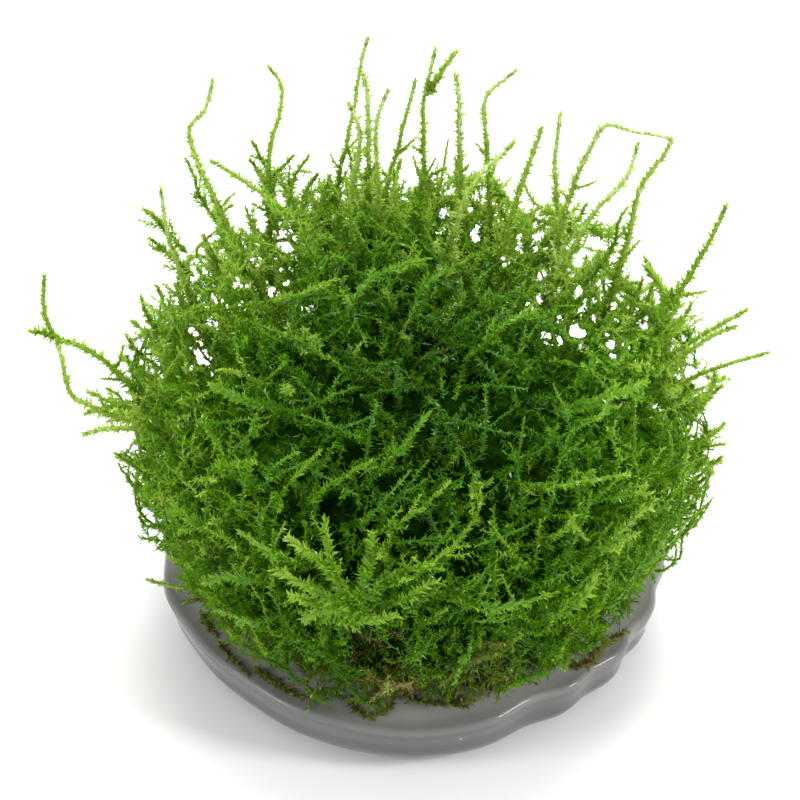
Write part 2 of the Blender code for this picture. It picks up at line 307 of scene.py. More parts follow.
class Growth:
    # Gathers leaves and stems, then makes one mesh of them; all in millimetres until then
    def __init__(self, name, finish):
        self.name = name
        self.finish = finish
        self.leafPoints = []
        self.leafTints = []
        self.stemPoints = []
        self.stemFaces = []
        self.stemTints = []
        self.stemCount = 0

    def leaves(self, points, facing, kind, tint, firstShare=0.0, size=1.0, paintedDepthShade=0.0):
        leaf = dict(zip(leafTraits, leafSizes[kind]))
        along = pathLengths(points)
        count = int(along[-1] * (1 - firstShare) / (leaf["spacing"] * size**0.5) + 1e-6)
        if count < 2:
            return
        order = np.arange(count)
        share = firstShare + (1 - firstShare) * (order + random.uniform(0.1, 0.9, count)) / count
        places = share * along[-1]
        tangent = unit(resample(np.gradient(points, axis=0), along, places))
        normal, side = stemFrame(tangent, facing)
        rank = np.where(order % 2 == 0, 90.0, -90.0)
        rank[order % leaf["face"] == 0] = 0
        faceTurn = random.normal(0, leafManner["faceTurn"], count)
        sideTurn = rank + random.normal(0, leaf["wobble"], count)
        turn = np.radians(np.where(rank == 0, faceTurn, sideTurn))[:, None]
        outward = np.cos(turn) * normal + np.sin(turn) * side
        closing = 1 - leafManner["closing"] * share**5
        spread = leaf["spread"] * closing + random.normal(0, leafManner["spreadScatter"], count)
        spread = np.radians(spread)[:, None]
        bend = leaf["bend"] * closing + random.normal(0, leafManner["bendScatter"], count)
        bend = np.radians(bend)[:, None]
        heading = np.cos(spread) * tangent + np.sin(spread) * outward
        tipHeading = np.cos(spread + bend) * tangent + np.sin(spread + bend) * outward
        face = normal * leaf["flat"] + outward * (1 - leaf["flat"])
        across = unit(np.cross(heading, unit(face + random.normal(0, 0.3, (count, 3)))))
        scale = size * (1 + leaf["taper"] * (0.5 - share)) * random.uniform(*leafManner["scale"], count)
        long = (leaf["length"] * scale)[:, None]
        wide = (leaf["width"] * scale)[:, None]
        base = resample(points, along, places)
        middle = base + heading * long * leafManner["widest"]
        left = middle + across * wide / 2
        right = middle - across * wide / 2
        beyond = tipHeading * long * (1 - leafManner["widest"])
        tip = middle + beyond + across * wide * random.normal(0, 0.4, (count, 1))
        self.leafPoints.append(np.stack((base, right, tip, left), axis=1))
        # Painted shade: leaves darker towards the root of their stem, for the depth of the cushion
        tints = tint + random.normal(0, leaf["scatter"], count) - paintedDepthShade * (1 - share)
        self.leafTints.append(np.maximum(tints, min(tint, leafManner["darkest"])))

    def stem(self, points, facing, radius, tint, paintedDepthShade=0.0, tipShare=0.4):
        # A three sided stem that thins towards its tip
        along = np.linspace(0, 1, len(points))
        normal, side = stemFrame(unit(np.gradient(points, axis=0)), facing)
        turns = np.radians((90, 210, 330))[None, :, None]
        ring = np.cos(turns) * normal[:, None] + np.sin(turns) * side[:, None]
        radii = radius * (1 - (1 - tipShare) * along**2)
        self.stemPoints.append(points[:, None] + ring * radii[:, None, None])
        rows = self.stemCount + 3 * np.arange(len(points) - 1)
        self.stemFaces.append((rows[:, None, None] + stemSides).reshape(-1, 4))
        # Painted shade: the stem darker towards its root
        self.stemTints.append(tint - paintedDepthShade * (1 - along))
        self.stemCount += 3 * len(points)

    def build(self, slot, *nodes, parted=False, thinned=0):
        leaves = np.concatenate(self.leafPoints)
        tint = np.concatenate(self.leafTints)
        if thinned:
            kept = random.random(len(leaves)) > thinned * hollowShare(leaves.mean(axis=1))
            leaves = leaves[kept]
            tint = tint[kept]
        count = len(leaves)
        stems = np.concatenate(self.stemPoints or [np.zeros((0, 3, 3))])
        if parted:
            leaves = leaves + partLeaves(leaves.mean(axis=1))[:, None]
            stems = stems + partLeaves(stems.mean(axis=1))[:, None]
        corners = np.arange(count)[:, None] * 4
        faces = np.concatenate((corners + (0, 1, 3), corners + (1, 2, 3)), axis=1).reshape(-1, 3)
        quads = np.concatenate(self.stemFaces or [np.zeros((0, 4), int)])
        sides = stems.reshape(-1, 3)[quads]
        if parted:
            clear = ~crossesOpening(sides[:, :2].mean(axis=1), sides[:, 2:].mean(axis=1))
            quads = quads[clear]
            sides = sides[clear]
        if thinned:
            quads = quads[hollowShare(sides.mean(axis=1)) < 0.5]
        leafUv = np.zeros((count, 4, 2))
        leafUv[:, :, 0] = tint[:, None] + (0, 0.01, 0, -0.01)
        leafUv[:, :, 1] = (0.05, 0.42, 0.95, 0.42)
        stemUv = np.zeros((len(stems), 3, 2))
        stemUv[:, :, 0] = np.concatenate(self.stemTints or [[]])[:, None] + (-0.008, 0, 0.008)
        stemUv[:, :, 1] = (0.1, 0.3, 0.2)
        uv = np.clip(np.concatenate((leafUv.reshape(-1, 2), stemUv.reshape(-1, 2))), 0.01, 0.99)
        points = np.concatenate((leaves.reshape(-1, 3), stems.reshape(-1, 3)))
        loops = np.concatenate((faces.ravel(), quads.ravel() + count * 4))
        sizes = np.repeat((3, 4), (len(faces), len(quads)))
        mesh = bpy.data.meshes.new(self.name)
        mesh.vertices.add(len(points))
        mesh.vertices.foreach_set("co", (points * mm).astype(np.float32).ravel())
        mesh.loops.add(len(loops))
        mesh.loops.foreach_set("vertex_index", loops.astype(np.int32))
        mesh.polygons.add(len(sizes))
        mesh.polygons.foreach_set("loop_start", (np.cumsum(sizes) - sizes).astype(np.int32))
        mesh.uv_layers.new(name="OFBake").data.foreach_set("uv", uv[loops].astype(np.float32).ravel())
        mesh.update(calc_edges=True)
        mesh.validate()
        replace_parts(addPiece(self.name, mesh, self.finish), *nodes)
        print(self.name, len(faces) + 2 * len(quads), "triangles")


# Moss mass

mass = {
    "middle": (0.3, 0, 30.3),  # mm, as in the solid
    "shoots": 1960,
    "length": (11, 21),
    "inset": (-0.6, 1.0),
    "deepInset": (1.0, 4.5),
    "deepShare": 0.33,
    "radial": 0.55,
    "upward": 0.55,
    "scatter": 0.45,
    "leafDepth": 5.2,
    "looseLeafDepth": 6.0,  # further, where the cushion is loose
    "looseLight": 0.8,  # the shoots there get less painted shade towards their roots
    "proud": 0.3,  # how far a stem may stand over the solid
    "branchEvery": 2.3,
    "branchLength": (2.0, 5.6),
    "branchAngle": 40,
    "stemRadius": 0.12,
    "oldShare": 0.04,
    "oldPatch": 0.5,
    "oldPatchScale": 6.5,
    "fillLeaves": 26000,
    "fillInset": (1.6, 4.6),
    "fillLength": (0.9, 2.2),
    "fillWidth": 0.3,
    "seat": 10.9,  # lowest tip above the floor
    "crownFrom": 0.45,  # height of a direction from which it counts as the crown
    "gapScale": 7.0,  # across the loose places in the shoulders
}

# Openings between the shoots of the shoulders, where the light shows through
openings = {
    "reach": 2.1,  # leaves are parted out to this many times the opening's width
    "clear": 0.18,
    "heartClear": 0.8,
    "long": 0.38,  # how far an opening is from round
    "torn": 0.3,
    # smaller ones beside each, with distance and width in its own widths
    "side": {"count": 4, "far": (1.6, 3.6), "width": (0.3, 0.55)},
    "y": 12,
    # x, z and width, in mm
    "spots": (
        (-18.4, 43.9, 0.71), (-27.2, 32.3, 0.84), (-27.8, 35.1, 0.45), (-30.1, 43.5, 0.65),
        (-25.4, 42.5, 0.32), (-22.4, 41.5, 0.32), (-15.5, 54.8, 0.78), (-16.2, 59.9, 0.78),
        (-13.6, 41.2, 0.26), (-22.7, 45.1, 0.45), (-28.5, 37.4, 0.39), (-26.4, 38.6, 0.39),
        (-21.6, 59.3, 0.78), (-24.4, 52.6, 0.65), (-20.4, 48.5, 0.39), (6.3, 58.8, 1.04), (8.5, 60.6, 1.17),
        (7.3, 53.6, 0.78), (12.9, 52.6, 0.65), (15.4, 53.3, 0.65), (15.6, 56, 0.65), (12.1, 55, 0.45),
        (23.7, 52.3, 1.04), (20.9, 52.3, 0.58), (26, 52.3, 0.65), (19, 48.1, 0.78), (16.3, 46.4, 0.78),
        (16.2, 42.3, 0.91), (18.2, 44.7, 0.45), (20.4, 49.9, 0.65), (20.5, 43.7, 0.45), (21.4, 40.9, 0.45),
        (24.3, 44.6, 0.65), (24.9, 41.7, 0.84), (25.5, 38.7, 0.71), (20.7, 37, 0.91), (17.1, 36.2, 0.45),
        (25, 34.8, 0.65), (26.8, 26.4, 0.52), (32, 23, 0.39), (29.1, 34.6, 0.45), (33.1, 33.9, 0.45),
        (29.5, 38.4, 0.58), (27.8, 40.6, 0.52), (35.6, 29.9, 0.78), (37.2, 28.3, 0.65), (31.8, 40.6, 0.45),
        (34.2, 40.1, 0.58), (11.3, 49, 0.39), (3.8, 54, 0.45),
    ),
}


def addSideOpenings():
    beside = openings["side"]
    whole = []
    for x, z, width in openings["spots"]:
        whole.append((x, z, width))
        for _ in range(beside["count"]):
            turn = random.uniform(0, 2 * math.pi)
            far = width * random.uniform(*beside["far"])
            small = width * random.uniform(*beside["width"])
            whole.append((x + far * math.cos(turn), z + far * math.sin(turn), small))
    openings["spots"] = whole


# Dark hollows in the face, which end in the heart
hollows = {
    "depth": 5.5,
    "soft": 1.7,  # the moss is thinned out to this many times the hollow's width
    "bare": 0.6,  # and bare within this many
    # place and width, in mm
    "spots": (
        (-3.2, -33.7, 24.4, 1.4), (-5.2, -33.5, 24.6, 1.2), (1.7, -34.5, 24.5, 0.8),
        (5.1, -16.5, 53.6, 1.3), (3.8, -18.7, 53, 1.1), (8.9, -23.7, 49.8, 1.6), (9.4, -21, 50.9, 1.3),
        (10.9, -20.1, 51.7, 1.0), (9.6, -27, 47.6, 0.95), (9, -15.7, 52.9, 1.3), (9.1, -28.9, 44.8, 0.9),
        (13.5, -25, 47, 0.9), (3.1, -20.3, 51.2, 0.8), (0.7, -21.2, 50.8, 0.8), (-0.3, -16.9, 51.7, 1.0),
        (-3.4, -17.9, 52.3, 0.9), (-6.1, -17.8, 51.6, 0.9), (-10.2, -16.6, 53.1, 1.3),
        (-10.5, -14, 54.3, 1.0), (-14.4, -16.6, 51.5, 0.6), (-5.4, -9.9, 52.9, 0.9), (-7.7, 2.2, 53.2, 0.7),
        (-18, -21.4, 48.6, 0.9), (-10.4, -28.7, 45.3, 1.2), (-13.8, -26.9, 45.2, 0.7),
        (-14.3, -29.2, 41.6, 0.8), (-16.3, -30.1, 39.8, 0.8), (-7.5, -24.9, 51.7, 1.0),
        (-3.7, -27.1, 48.4, 0.9), (-2.5, -25.4, 49.8, 0.7), (-0.8, -31.4, 44.9, 1.1),
        (-7.3, -35.7, 31, 0.7),
    ),
}


def viewLine(point):
    # Direction in which light passes through an opening
    tilt = math.radians(camera["elevation"])
    eye = np.array(camera["target"]) + camera["distance"] * np.array((0, -math.cos(tilt), math.sin(tilt)))
    return unit(np.array(point) - eye)


def acrossOpening(places, number):
    # The way from an opening's line to each place, and its distance as if the torn edge were round
    x, z, _ = openings["spots"][number]
    point = np.array((x, openings["y"], z))
    line = viewLine(point)
    away = places - point
    away -= (away @ line)[..., None] * line
    turn = np.arctan2(away @ np.cross(line, (1, 0, 0)), away[..., 0])
    edge = 1 + openings["long"] * np.cos(2 * turn + number * 2.4)
    edge = edge + openings["torn"] * np.cos(3 * turn + number)
    return away, np.linalg.norm(away, axis=-1) / edge


def partLeaves(centres):
    # How far each centre has to move to leave the openings clear
    moved = centres.copy()
    for number, (*_, width) in enumerate(openings["spots"]):
        away, distance = acrossOpening(moved, number)
        inner = width + openings["clear"]
        outer = inner * openings["reach"]
        near = distance < outer
        step = inner * (1 - distance[near] / outer)
        moved[near] += unit(away[near]) * step[:, None]
    return moved - centres


def crossesOpening(starts, ends):
    # Which of these short lines pass through an opening
    shares = np.linspace(0, 1, 5)[:, None]
    places = starts[:, None] * (1 - shares) + ends[:, None] * shares
    crossed = np.zeros(len(starts), bool)
    for number, (*_, width) in enumerate(openings["spots"]):
        crossed |= (acrossOpening(places, number)[1] < width).any(axis=1)
    return crossed


def hollowShare(places):
    # From 0 to 1, how far each place lies in a dark hollow
    share = np.zeros(places.shape[:-1])
    for *point, width in hollows["spots"]:
        line = viewLine(point)
        away = places - np.array(point)
        depth = away @ line
        distance = np.linalg.norm(away - depth[..., None] * line, axis=-1) / width
        inside = np.clip((hollows["soft"] - distance) / (hollows["soft"] - hollows["bare"]), 0, 1)
        share = np.maximum(share, np.where(depth < hollows["depth"], inside, 0))
    return share


class Cushion:
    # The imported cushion, asked how far it reaches from its middle
    def __init__(self):
        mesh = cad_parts["moss_cushion"].data
        points = [vertex.co[:] for vertex in mesh.vertices]
        self.tree = BVHTree.FromPolygons(points, [face.vertices[:] for face in mesh.polygons])
        self.middle = np.array(mass["middle"], float)
        self.centre = Vector(self.middle * mm)

    def reach(self, direction):
        hit = self.tree.ray_cast(self.centre, Vector(direction))[0]
        if hit is None:
            return 0.0
        return (hit - self.centre).length / mm

    def surface(self, place, lift=0.0):
        # The point over or under the surface in the direction of a place
        direction = unit(place - self.middle)
        return self.middle + direction * (self.reach(direction) + lift)

    def depth(self, point):
        # How far a point lies under the surface, seen from the middle
        away = point - self.middle
        distance = np.linalg.norm(away)
        return self.reach(away / distance) - distance


def onBall(height, turn):
    flat = np.sqrt(1 - height**2)
    return np.stack((flat * np.cos(turn), flat * np.sin(turn), height), axis=1)


def evenDirections(count):
    # Directions spread evenly over a ball, a little out of line
    index = np.arange(count) + 0.5
    even = onBall(1 - 2 * index / count, index * math.pi * (3 - math.sqrt(5)))
    return unit(even + random.normal(0, 1 / math.sqrt(count), (count, 3)))


# Painted shade: the hollow under the front fronds, at the foot, painted in the darkest brown
footHollowShade = {"middle": (-3, -32.5, 23.5), "radius": 3.6, "tint": 0.02}


def placeTint(point):
    # Darker over the middle by painted shade, lighter towards the sides and the crown's rim by painted light,
    # old and brown at the foot
    x, y, z = point
    patch = noise.noise(Vector(point) / 7)
    # Painted shade in the hollow under the front fronds
    if math.dist(point, footHollowShade["middle"]) < footHollowShade["radius"] * (1 + 0.8 * patch):
        return footHollowShade["tint"]
    # Painted light: lighter towards the sides and the back
    tint = 0.62 + 0.10 * clamp(abs(x) / 32) ** 2 + 0.14 * clamp(y / 24)
    # Painted shade: darker over the middle of the front's upper part
    tint -= 0.23 * math.exp(-((x / 19) ** 2) - ((y + 12) / 19) ** 2 - ((z - 53) / 15) ** 2)
    tint += 0.07 * noise.noise(Vector(point) / 9)
    tint += (0.275 - tint) * clamp(clamp((22.5 - z) / 8) * (0.9 + 0.9 * patch))
    brown = math.exp(-(((x - 6) / 16) ** 2)) * clamp((30 - z) / 9) * max(0.0, -y / 30)
    return max(tint - 0.34 * brown * max(0.0, 0.8 + 1.6 * patch), min(tint, 0.22))


def shoulderShare(radial):
    # From 0 to 1, how far a direction points at the thin shoulders on both sides of the crown's back
    x, y, z = radial
    side = math.exp(-(((abs(x) - 0.55) / 0.3) ** 2))
    return side * clamp((y + 0.25) / 0.4) * clamp((z - 0.15) / 0.3)


def looseness(radial):
    # From 0 to 1, where light passes through the moss and no heart may stop it
    x, y, z = radial
    return clamp((abs(x) - 0.2) / 0.3) * clamp((y + 0.3) / 0.35) * clamp((z + 0.2) / 0.35)


def growBranch(growth, start, headings, facing, length, kind, tint):
    lean, tangent = headings
    end = start + length * unit(lean * 0.75 + tangent * 0.4 + random.normal(0, 0.14, 3))
    points = curvePoints(start, start + lean * length * 0.5, end, 4)
    growth.stem(points, facing, mass["stemRadius"] * 0.7, tint + 0.08)
    growth.leaves(points, facing, kind, tint, 0.05, 0.88)


def growMassShoot(growth, cushion, tip, radial, tint):
    low = clamp((22 - tip[2]) / 10)
    away = radial * (mass["radial"] + 0.4 * low) + np.array((0, 0, mass["upward"] * (1 - 0.8 * low)))
    heading = unit(away + random.normal(0, mass["scatter"], 3))
    length = random.uniform(*mass["length"])
    start = tip - heading * length * 0.72 - radial * length * 0.3 + random.normal(0, 0.8, 3)
    points = curvePoints(start, tip - heading * length * 0.5, tip, 8)
    points[:, 2] = np.maximum(points[:, 2], mass["seat"] - 0.3)
    depths = np.array([cushion.depth(point) for point in points])
    for row in np.nonzero(depths < -mass["proud"])[0]:
        points[row] += unit(points[row] - cushion.middle) * (depths[row] + mass["proud"])
    loose = looseness(radial)
    shown = int(np.argmax(depths < mass["leafDepth"] + mass["looseLeafDepth"] * loose))
    points = points[max(0, shown - 1) :]
    if len(points) < 3:
        return
    length = pathLengths(points)[-1]
    facing = unit(radial * 0.8 + np.array((0, -0.1, 0.3)) + random.normal(0, 0.4, 3))
    # Painted shade: stem and leaves darker towards the root, less where the cushion is loose
    dim = 1 - mass["looseLight"] * loose
    growth.stem(points, facing, mass["stemRadius"], tint + 0.10, 0.15 * dim)
    growth.leaves(points, facing, "mass", tint + 0.04, 0.0, 1.0, 0.20 * dim)
    count = int(length * 0.85 / mass["branchEvery"])
    for number in range(count):
        share = 0.08 + 0.85 * (number + random.uniform(0.1, 0.9)) / count
        place = share * (len(points) - 1)
        row = int(place)
        origin = points[row] + (points[row + 1] - points[row]) * (place - row)
        angle = math.radians(mass["branchAngle"] + random.normal(0, 9))
        headings = forkOff(points, row, facing, number % 2 * 2 - 1, math.cos(angle), math.sin(angle), 0.3)
        long = min(random.uniform(*mass["branchLength"]), 1.2 + length * (1 - share) * 0.8)
        if cushion.depth(origin + headings[0] * long) < -0.8:
            long *= 0.45
        if origin[2] + headings[0][2] * long < mass["seat"] - 0.3:
            continue
        # Painted shade: branches darker the lower they sit on the shoot
        branchTint = tint - 0.14 * dim * (1 - share)
        patch = noise.noise(Vector(origin) / mass["oldPatchScale"]) - 0.2
        flank = clamp(max(0.0, (abs(origin[0]) - 12) / 10) + max(0.0, (20 - origin[2]) / 6))
        if random.random() < (mass["oldShare"] + mass["oldPatch"] * max(0.0, patch)) * flank:
            branchTint = random.uniform(0.16, 0.3)
        growBranch(growth, origin, headings, facing, long, "mass", branchTint)


def addMass(cushion):
    names = ("right_back", "left_back", "left_front", "right_front")
    growths = [Growth("moss_" + name, denseLeaves) for name in names]
    growths += [Growth("moss_crown_" + name, denseLeaves) for name in names]
    for radial in evenDirections(mass["shoots"]):
        reach = cushion.reach(radial)
        deep = random.random() < mass["deepShare"]
        inset = random.uniform(*(mass["deepInset"] if deep else mass["inset"]))
        tip = cushion.middle + radial * (reach - inset)
        if tip[2] < mass["seat"] or reach == 0:
            continue
        loose = 0.5 + 1.6 * noise.noise(Vector(tip) / mass["gapScale"])
        if random.random() < max(loose * shoulderShare(radial), hollowShare(tip)):
            continue
        quarter = int((math.atan2(radial[1], radial[0]) % (2 * math.pi)) / (math.pi / 2))
        growth = growths[quarter + (4 if radial[2] > mass["crownFrom"] else 0)]
        growMassShoot(growth, cushion, tip, radial, placeTint(tip) + random.normal(0, 0.06))
    for growth in growths:
        growth.build("dense_moss", "moss_cushion", parted=True, thinned=1)


def addFill(cushion):
    # Leaves that fill the depth between the shoots, in front of the heart
    growth = Growth("moss_fill", denseLeaves)
    radial = evenDirections(mass["fillLeaves"])
    loose = np.array([looseness(direction) for direction in radial])
    kept = loose < random.random(len(loose))
    radial = radial[kept]
    reach = np.array([cushion.reach(direction) for direction in radial])
    base = cushion.middle + radial * (reach - random.uniform(*mass["fillInset"], len(radial)))[:, None]
    shown = base[:, 2] > mass["seat"]
    base = base[shown]
    count = len(base)
    heading = unit(radial[shown] * 0.6 + random.normal(0, 0.6, (count, 3)))
    across = unit(np.cross(heading, random.normal(0, 1, (count, 3)))) * mass["fillWidth"] / 2
    long = random.uniform(*mass["fillLength"], count)[:, None]
    middle = base + heading * long * leafManner["widest"]
    tip = base + unit(heading + random.normal(0, 0.3, (count, 3))) * long
    growth.leafPoints.append(np.stack((base, middle + across, tip, middle - across), axis=1))
    # Painted shade: fill leaves darker than their place by dim, less at the flanks, the front's lower part
    # and loose places
    flank = np.clip((np.abs(base[:, 0]) - 10) / 14, 0, 1)
    front = np.clip((46 - base[:, 2]) / 10, 0, 1)
    light = np.maximum(flank, np.maximum(front, loose[kept][shown]))
    dim = random.uniform(0.05, 0.25, count) * (1 - 0.6 * light)
    tint = np.array([placeTint(point) for point in base])
    growth.leafTints.append(np.maximum(tint - dim, np.minimum(tint, leafManner["darkest"])))
    growth.build("dense_moss", "moss_cushion", parted=True, thinned=4)


# Surface shoots: single shoots with hooked leaves that lie along the cushion's face

surface = {
    "shoots": 620,
    "lowest": -0.32,
    "length": (4.5, 10),
    "lift": (-0.2, 0.9),
    "root": 3.0,
    "stemRadius": 0.17,
    "tint": 0.06,
    "size": (0.78, 1.0),
    "forkShare": 0.5,
}


def addSurfaceShoots(cushion):
    growth = Growth("surface_shoots", faceLeaves)
    for radial in evenDirections(surface["shoots"]):
        if radial[2] < surface["lowest"]:
            continue
        start = cushion.middle + radial * cushion.reach(radial)
        aside = np.array((0.35 + radial[0] * 0.9, radial[1] * 0.5, 0)) if radial[1] < 0 else radial * 0.6
        heading = aside + np.array((0, 0, 0.8)) + random.normal(0, 0.45, 3)
        heading = unit(heading - radial * (heading @ radial))
        length = random.uniform(*surface["length"])
        lift = random.uniform(*surface["lift"])
        middle = cushion.surface(start + heading * length * 0.5, lift * 0.6)
        end = cushion.surface(start + heading * length, lift + 0.4)
        if random.random() < hollowShare(middle):
            continue
        root = start - radial * surface["root"] - heading * surface["root"] * 0.4
        points = smoothRoute([root, start + radial * (lift * 0.3 - 0.3), middle, end])
        points[:, 2] = np.maximum(points[:, 2], mass["seat"])
        points = points + random.normal(0, 0.06, points.shape)
        facing = unit(radial + random.normal(0, 0.25, 3))
        tint = placeTint(middle) + surface["tint"] + random.normal(0, 0.04)
        size = random.uniform(*surface["size"])
        # Painted shade towards the root: 0.2 on the stem and hooks, 0.15 on the scales
        growth.stem(points, facing, surface["stemRadius"], tint + 0.06, 0.2, 0.6)
        growth.leaves(points, facing, "hook", tint + 0.02, 0.0, size, 0.2)
        growth.leaves(points, facing, "scale", tint - 0.02, 0.2, size * 0.85, 0.15)
        if random.random() < surface["forkShare"]:
            row = random.integers(1, max(2, len(points) - 3))
            lean = forkOff(points, row, facing, random.choice((-1, 1)), 1, 0.7)[0]
            growTwig(growth, points[row], lean, facing, length * 0.35, tint - 0.03)
    growth.build("fresh_moss", "moss_cushion", parted=True)


# Edge shoots: loose ones that stand a few millimetres proud of the cushion

edge = {
    "shoots": 330,
    "root": 6,
    "proud": (0.6, 4.5),
    "crownProud": (1.5, 9.0),
    "lowest": 0.08,
    "stemRadius": 0.19,
    "tint": 0.08,
    "frondShare": 0.6,
    "frondSize": (0.85, 1.2),
    "budShare": 0.4,
}


def addEdgeShoots(cushion):
    growth = Growth("edge_shoots", freshLeaves)
    for radial in evenDirections(edge["shoots"]):
        if radial[2] < edge["lowest"] or (radial[1] < -0.35 and random.random() < 0.75):
            continue
        base = cushion.middle + radial * cushion.reach(radial)
        heading = unit(radial * 0.7 + np.array((0, 0, 0.45)) + random.normal(0, 0.35, 3))
        heading[2] = max(heading[2], 0.05)
        start = base - unit(heading + radial) * edge["root"]
        low, high = edge["crownProud" if radial[2] > 0.55 and radial[1] > 0 else "proud"]
        end = base + heading * (low + (high - low) * random.random() ** 1.6)
        points = curvePoints(start, base + random.normal(0, 0.7, 3), end, 10)
        facing = unit(np.cross(heading, random.normal(0, 1, 3)))
        tint = placeTint(base) + edge["tint"] + random.normal(0, 0.05)
        # Painted shade towards the root: 0.1 on the stem, 0.12 on the main leaves
        growth.stem(points, facing, edge["stemRadius"], tint + 0.06, 0.1)
        kind = "frond" if random.random() < edge["frondShare"] else "mass"
        growth.leaves(points, facing, kind, tint, 0.0, random.uniform(*edge["frondSize"]), 0.12)
        growth.leaves(points, facing, "scale", tint + 0.04, 0.3, 0.9)
        if random.random() < edge["budShare"]:
            bud = points[-1] + heading * np.linspace(-1.4, -0.5, 4)[:, None]
            growth.leaves(bud, facing, "bud", longShoot["budTint"], 0.0, 0.8)
        for row in random.integers(2, 7, 3):
            headings = forkOff(points, row, random.normal(0, 1, 3), 1, 0.7, 0.7)
            growBranch(growth, points[row], headings, facing, random.uniform(1.5, 4), "mass", tint - 0.04)
    growth.build("fresh_moss", "moss_cushion", parted=True)


# Long shoots, on the solids' own routes in millimetres

crownRoutes = (
    ((-27.5, 8, 44), (-31, 12, 52.5), (-32, 15, 58.5)),
    ((-21, 12, 48), (-25, 15.5, 55.5), (-28.5, 20, 63), (-26.5, 22, 65.5), (-25.5, 24, 68.5)),
    ((-18.5, 18, 51), (-18.5, 21, 58.5), (-17, 24.5, 64), (-17, 26, 66.5), (-18.5, 27, 68.5)),
    ((-15, 12, 56), (-20.5, 15, 59), (-25.5, 18, 60.5)),
    ((-10.5, 22, 50), (-8, 26, 61.5), (-7, 28, 67.5), (-6, 29, 71.5)),
    ((-6, 18, 55), (-6, 20.5, 61.5), (-6, 22.5, 66.5), (-6.5, 24, 69.5)),
    ((-8.5, 16, 54), (-7, 19.5, 63.5), (-8.5, 20.5, 68)),
    ((-4.5, 15, 54), (-5, 19, 65), (-3.5, 21, 69.5)),
    ((1, 21, 52), (1, 24.5, 60.5), (1, 25.5, 64.5), (2.5, 28, 70.5)),
    ((1.4, 25.8, 64.8), (3, 26.6, 67.5), (5, 28, 70)),
    ((-3.5, 21, 54), (-1.5, 23.5, 62), (0, 25, 68)),
    ((6, 20, 52), (5.5, 23, 60), (5.5, 24.5, 65), (5, 26, 68)),
    ((9.5, 20, 52), (9, 22, 60), (8.8, 23.8, 66), (12.5, 25, 69.5)),
    ((4, 6, 54), (6.5, 8.8, 63.5), (12, 12, 68.5)),
    ((10.5, 9, 53), (13, 11.5, 61.5), (15.5, 14, 69)),
    ((18.5, 12, 51), (17.5, 16, 60), (18, 19, 67)),
    ((17.5, 10, 50), (19, 12, 59), (21.5, 13, 66.5), (23.5, 13.5, 70), (27, 14.2, 68.6), (31, 15, 67)),
    ((24, 8, 44), (26.5, 10.5, 53), (28, 13, 60), (31.4, 14.6, 65.3)),
    ((18, 7, 51), (22, 9.5, 59), (26, 11.5, 63), (27.5, 13, 67.5)),
)
leftRoutes = (
    ((-33, -3, 37), (-38, -1, 42.7), (-42, 0.3, 45.3), (-45, 1.6, 45.6), (-46.5, 2.8, 49), (-46.3, 4, 53.5)),
    ((-35.2, -5.6, 38.4), (-38.7, -4.8, 38.4), (-41.1, -3.6, 38.9), (-43.3, -2.5, 40), (-44.2, -0.9, 43.6)),
    ((-44.8, 1.5, 45.6), (-46.3, 1.2, 46.6), (-48, 0, 48)),
    ((-33, -8.5, 39), (-38, -8, 39), (-41.5, -7, 37)),
    ((-31, -5, 26), (-35, -7, 31), (-37.5, -8, 34.5)),
    ((-25, -9, 12), (-30, -9.5, 12.2), (-34, -9, 13)),
)
rightRoutes = (
    ((29, 4, 43), (34, 6.5, 51), (37.5, 8.5, 58), (38.5, 9, 61)),
    ((31.5, 8, 41), (31, 10.5, 46), (29, 12, 49.5)),
    ((30, 0, 42), (36, 0.5, 47), (41, 1, 50.5)),
    ((30, -4.5, 45), (36, -4, 50.3), (39.5, -4, 52.5)),
    ((30, -4, 40.5), (36.5, -4, 45), (43.5, -4, 48)),
    ((32, -6, 24), (36, -6.5, 29.5), (38.5, -7, 33)),
    ((31, -9, 24), (34.5, -8.8, 29), (37, -9.5, 32.5)),
    ((33, -2, 26), (36.5, -2, 31), (39, -2, 34)),
)
backRoutes = (
    ((-17, 26, 22), (-22, 36, 27), (-25, 42, 27), (-27, 45, 23)),
    ((7, 29, 26), (10, 38, 30), (11, 44, 28)),
    ((-6, 29, 17), (-7, 38, 20), (-9, 44, 17)),
    ((21, 25, 19), (28, 33, 23), (32, 38, 22)),
    ((-28, 15, 20), (-36, 22, 21), (-39, 27, 19)),
    ((29, 13, 19), (37, 19, 20), (41, 24, 18)),
)

# Shoots whose tips meet a neighbour, with the last point that takes them there
meetings = {
    ("crown", 17): ((31.6, 15, 66.4),),
    ("crown", 18): ((31.6, 14.9, 66.6),),
    ("left", 2): ((-45, 1.4, 45.4),),
}

# Shoots that fork off another shoot, so they have no root of their own
forked = (("crown", 10), ("left", 3))

longShoot = {
    "step": 0.8,  # mm between the points of a stem
    "rootLength": 9,
    "stemRadius": 0.28,
    "girth": (1.1, 1.4),
    "tint": 0.88,
    "paintedRootShade": 0.18,  # painted shade: darker by this at the root
    "budTint": 0.63,
    "hookDim": 0.24,
    "familyTint": {"crown": 0.04, "left": -0.03, "right": -0.05, "back": -0.05},
    "bushyShare": 0.5,
    "branchEvery": 2.2,
    "branchLength": 3.0,
    "branchShare": 0.6,  # bare of branches beyond this
}


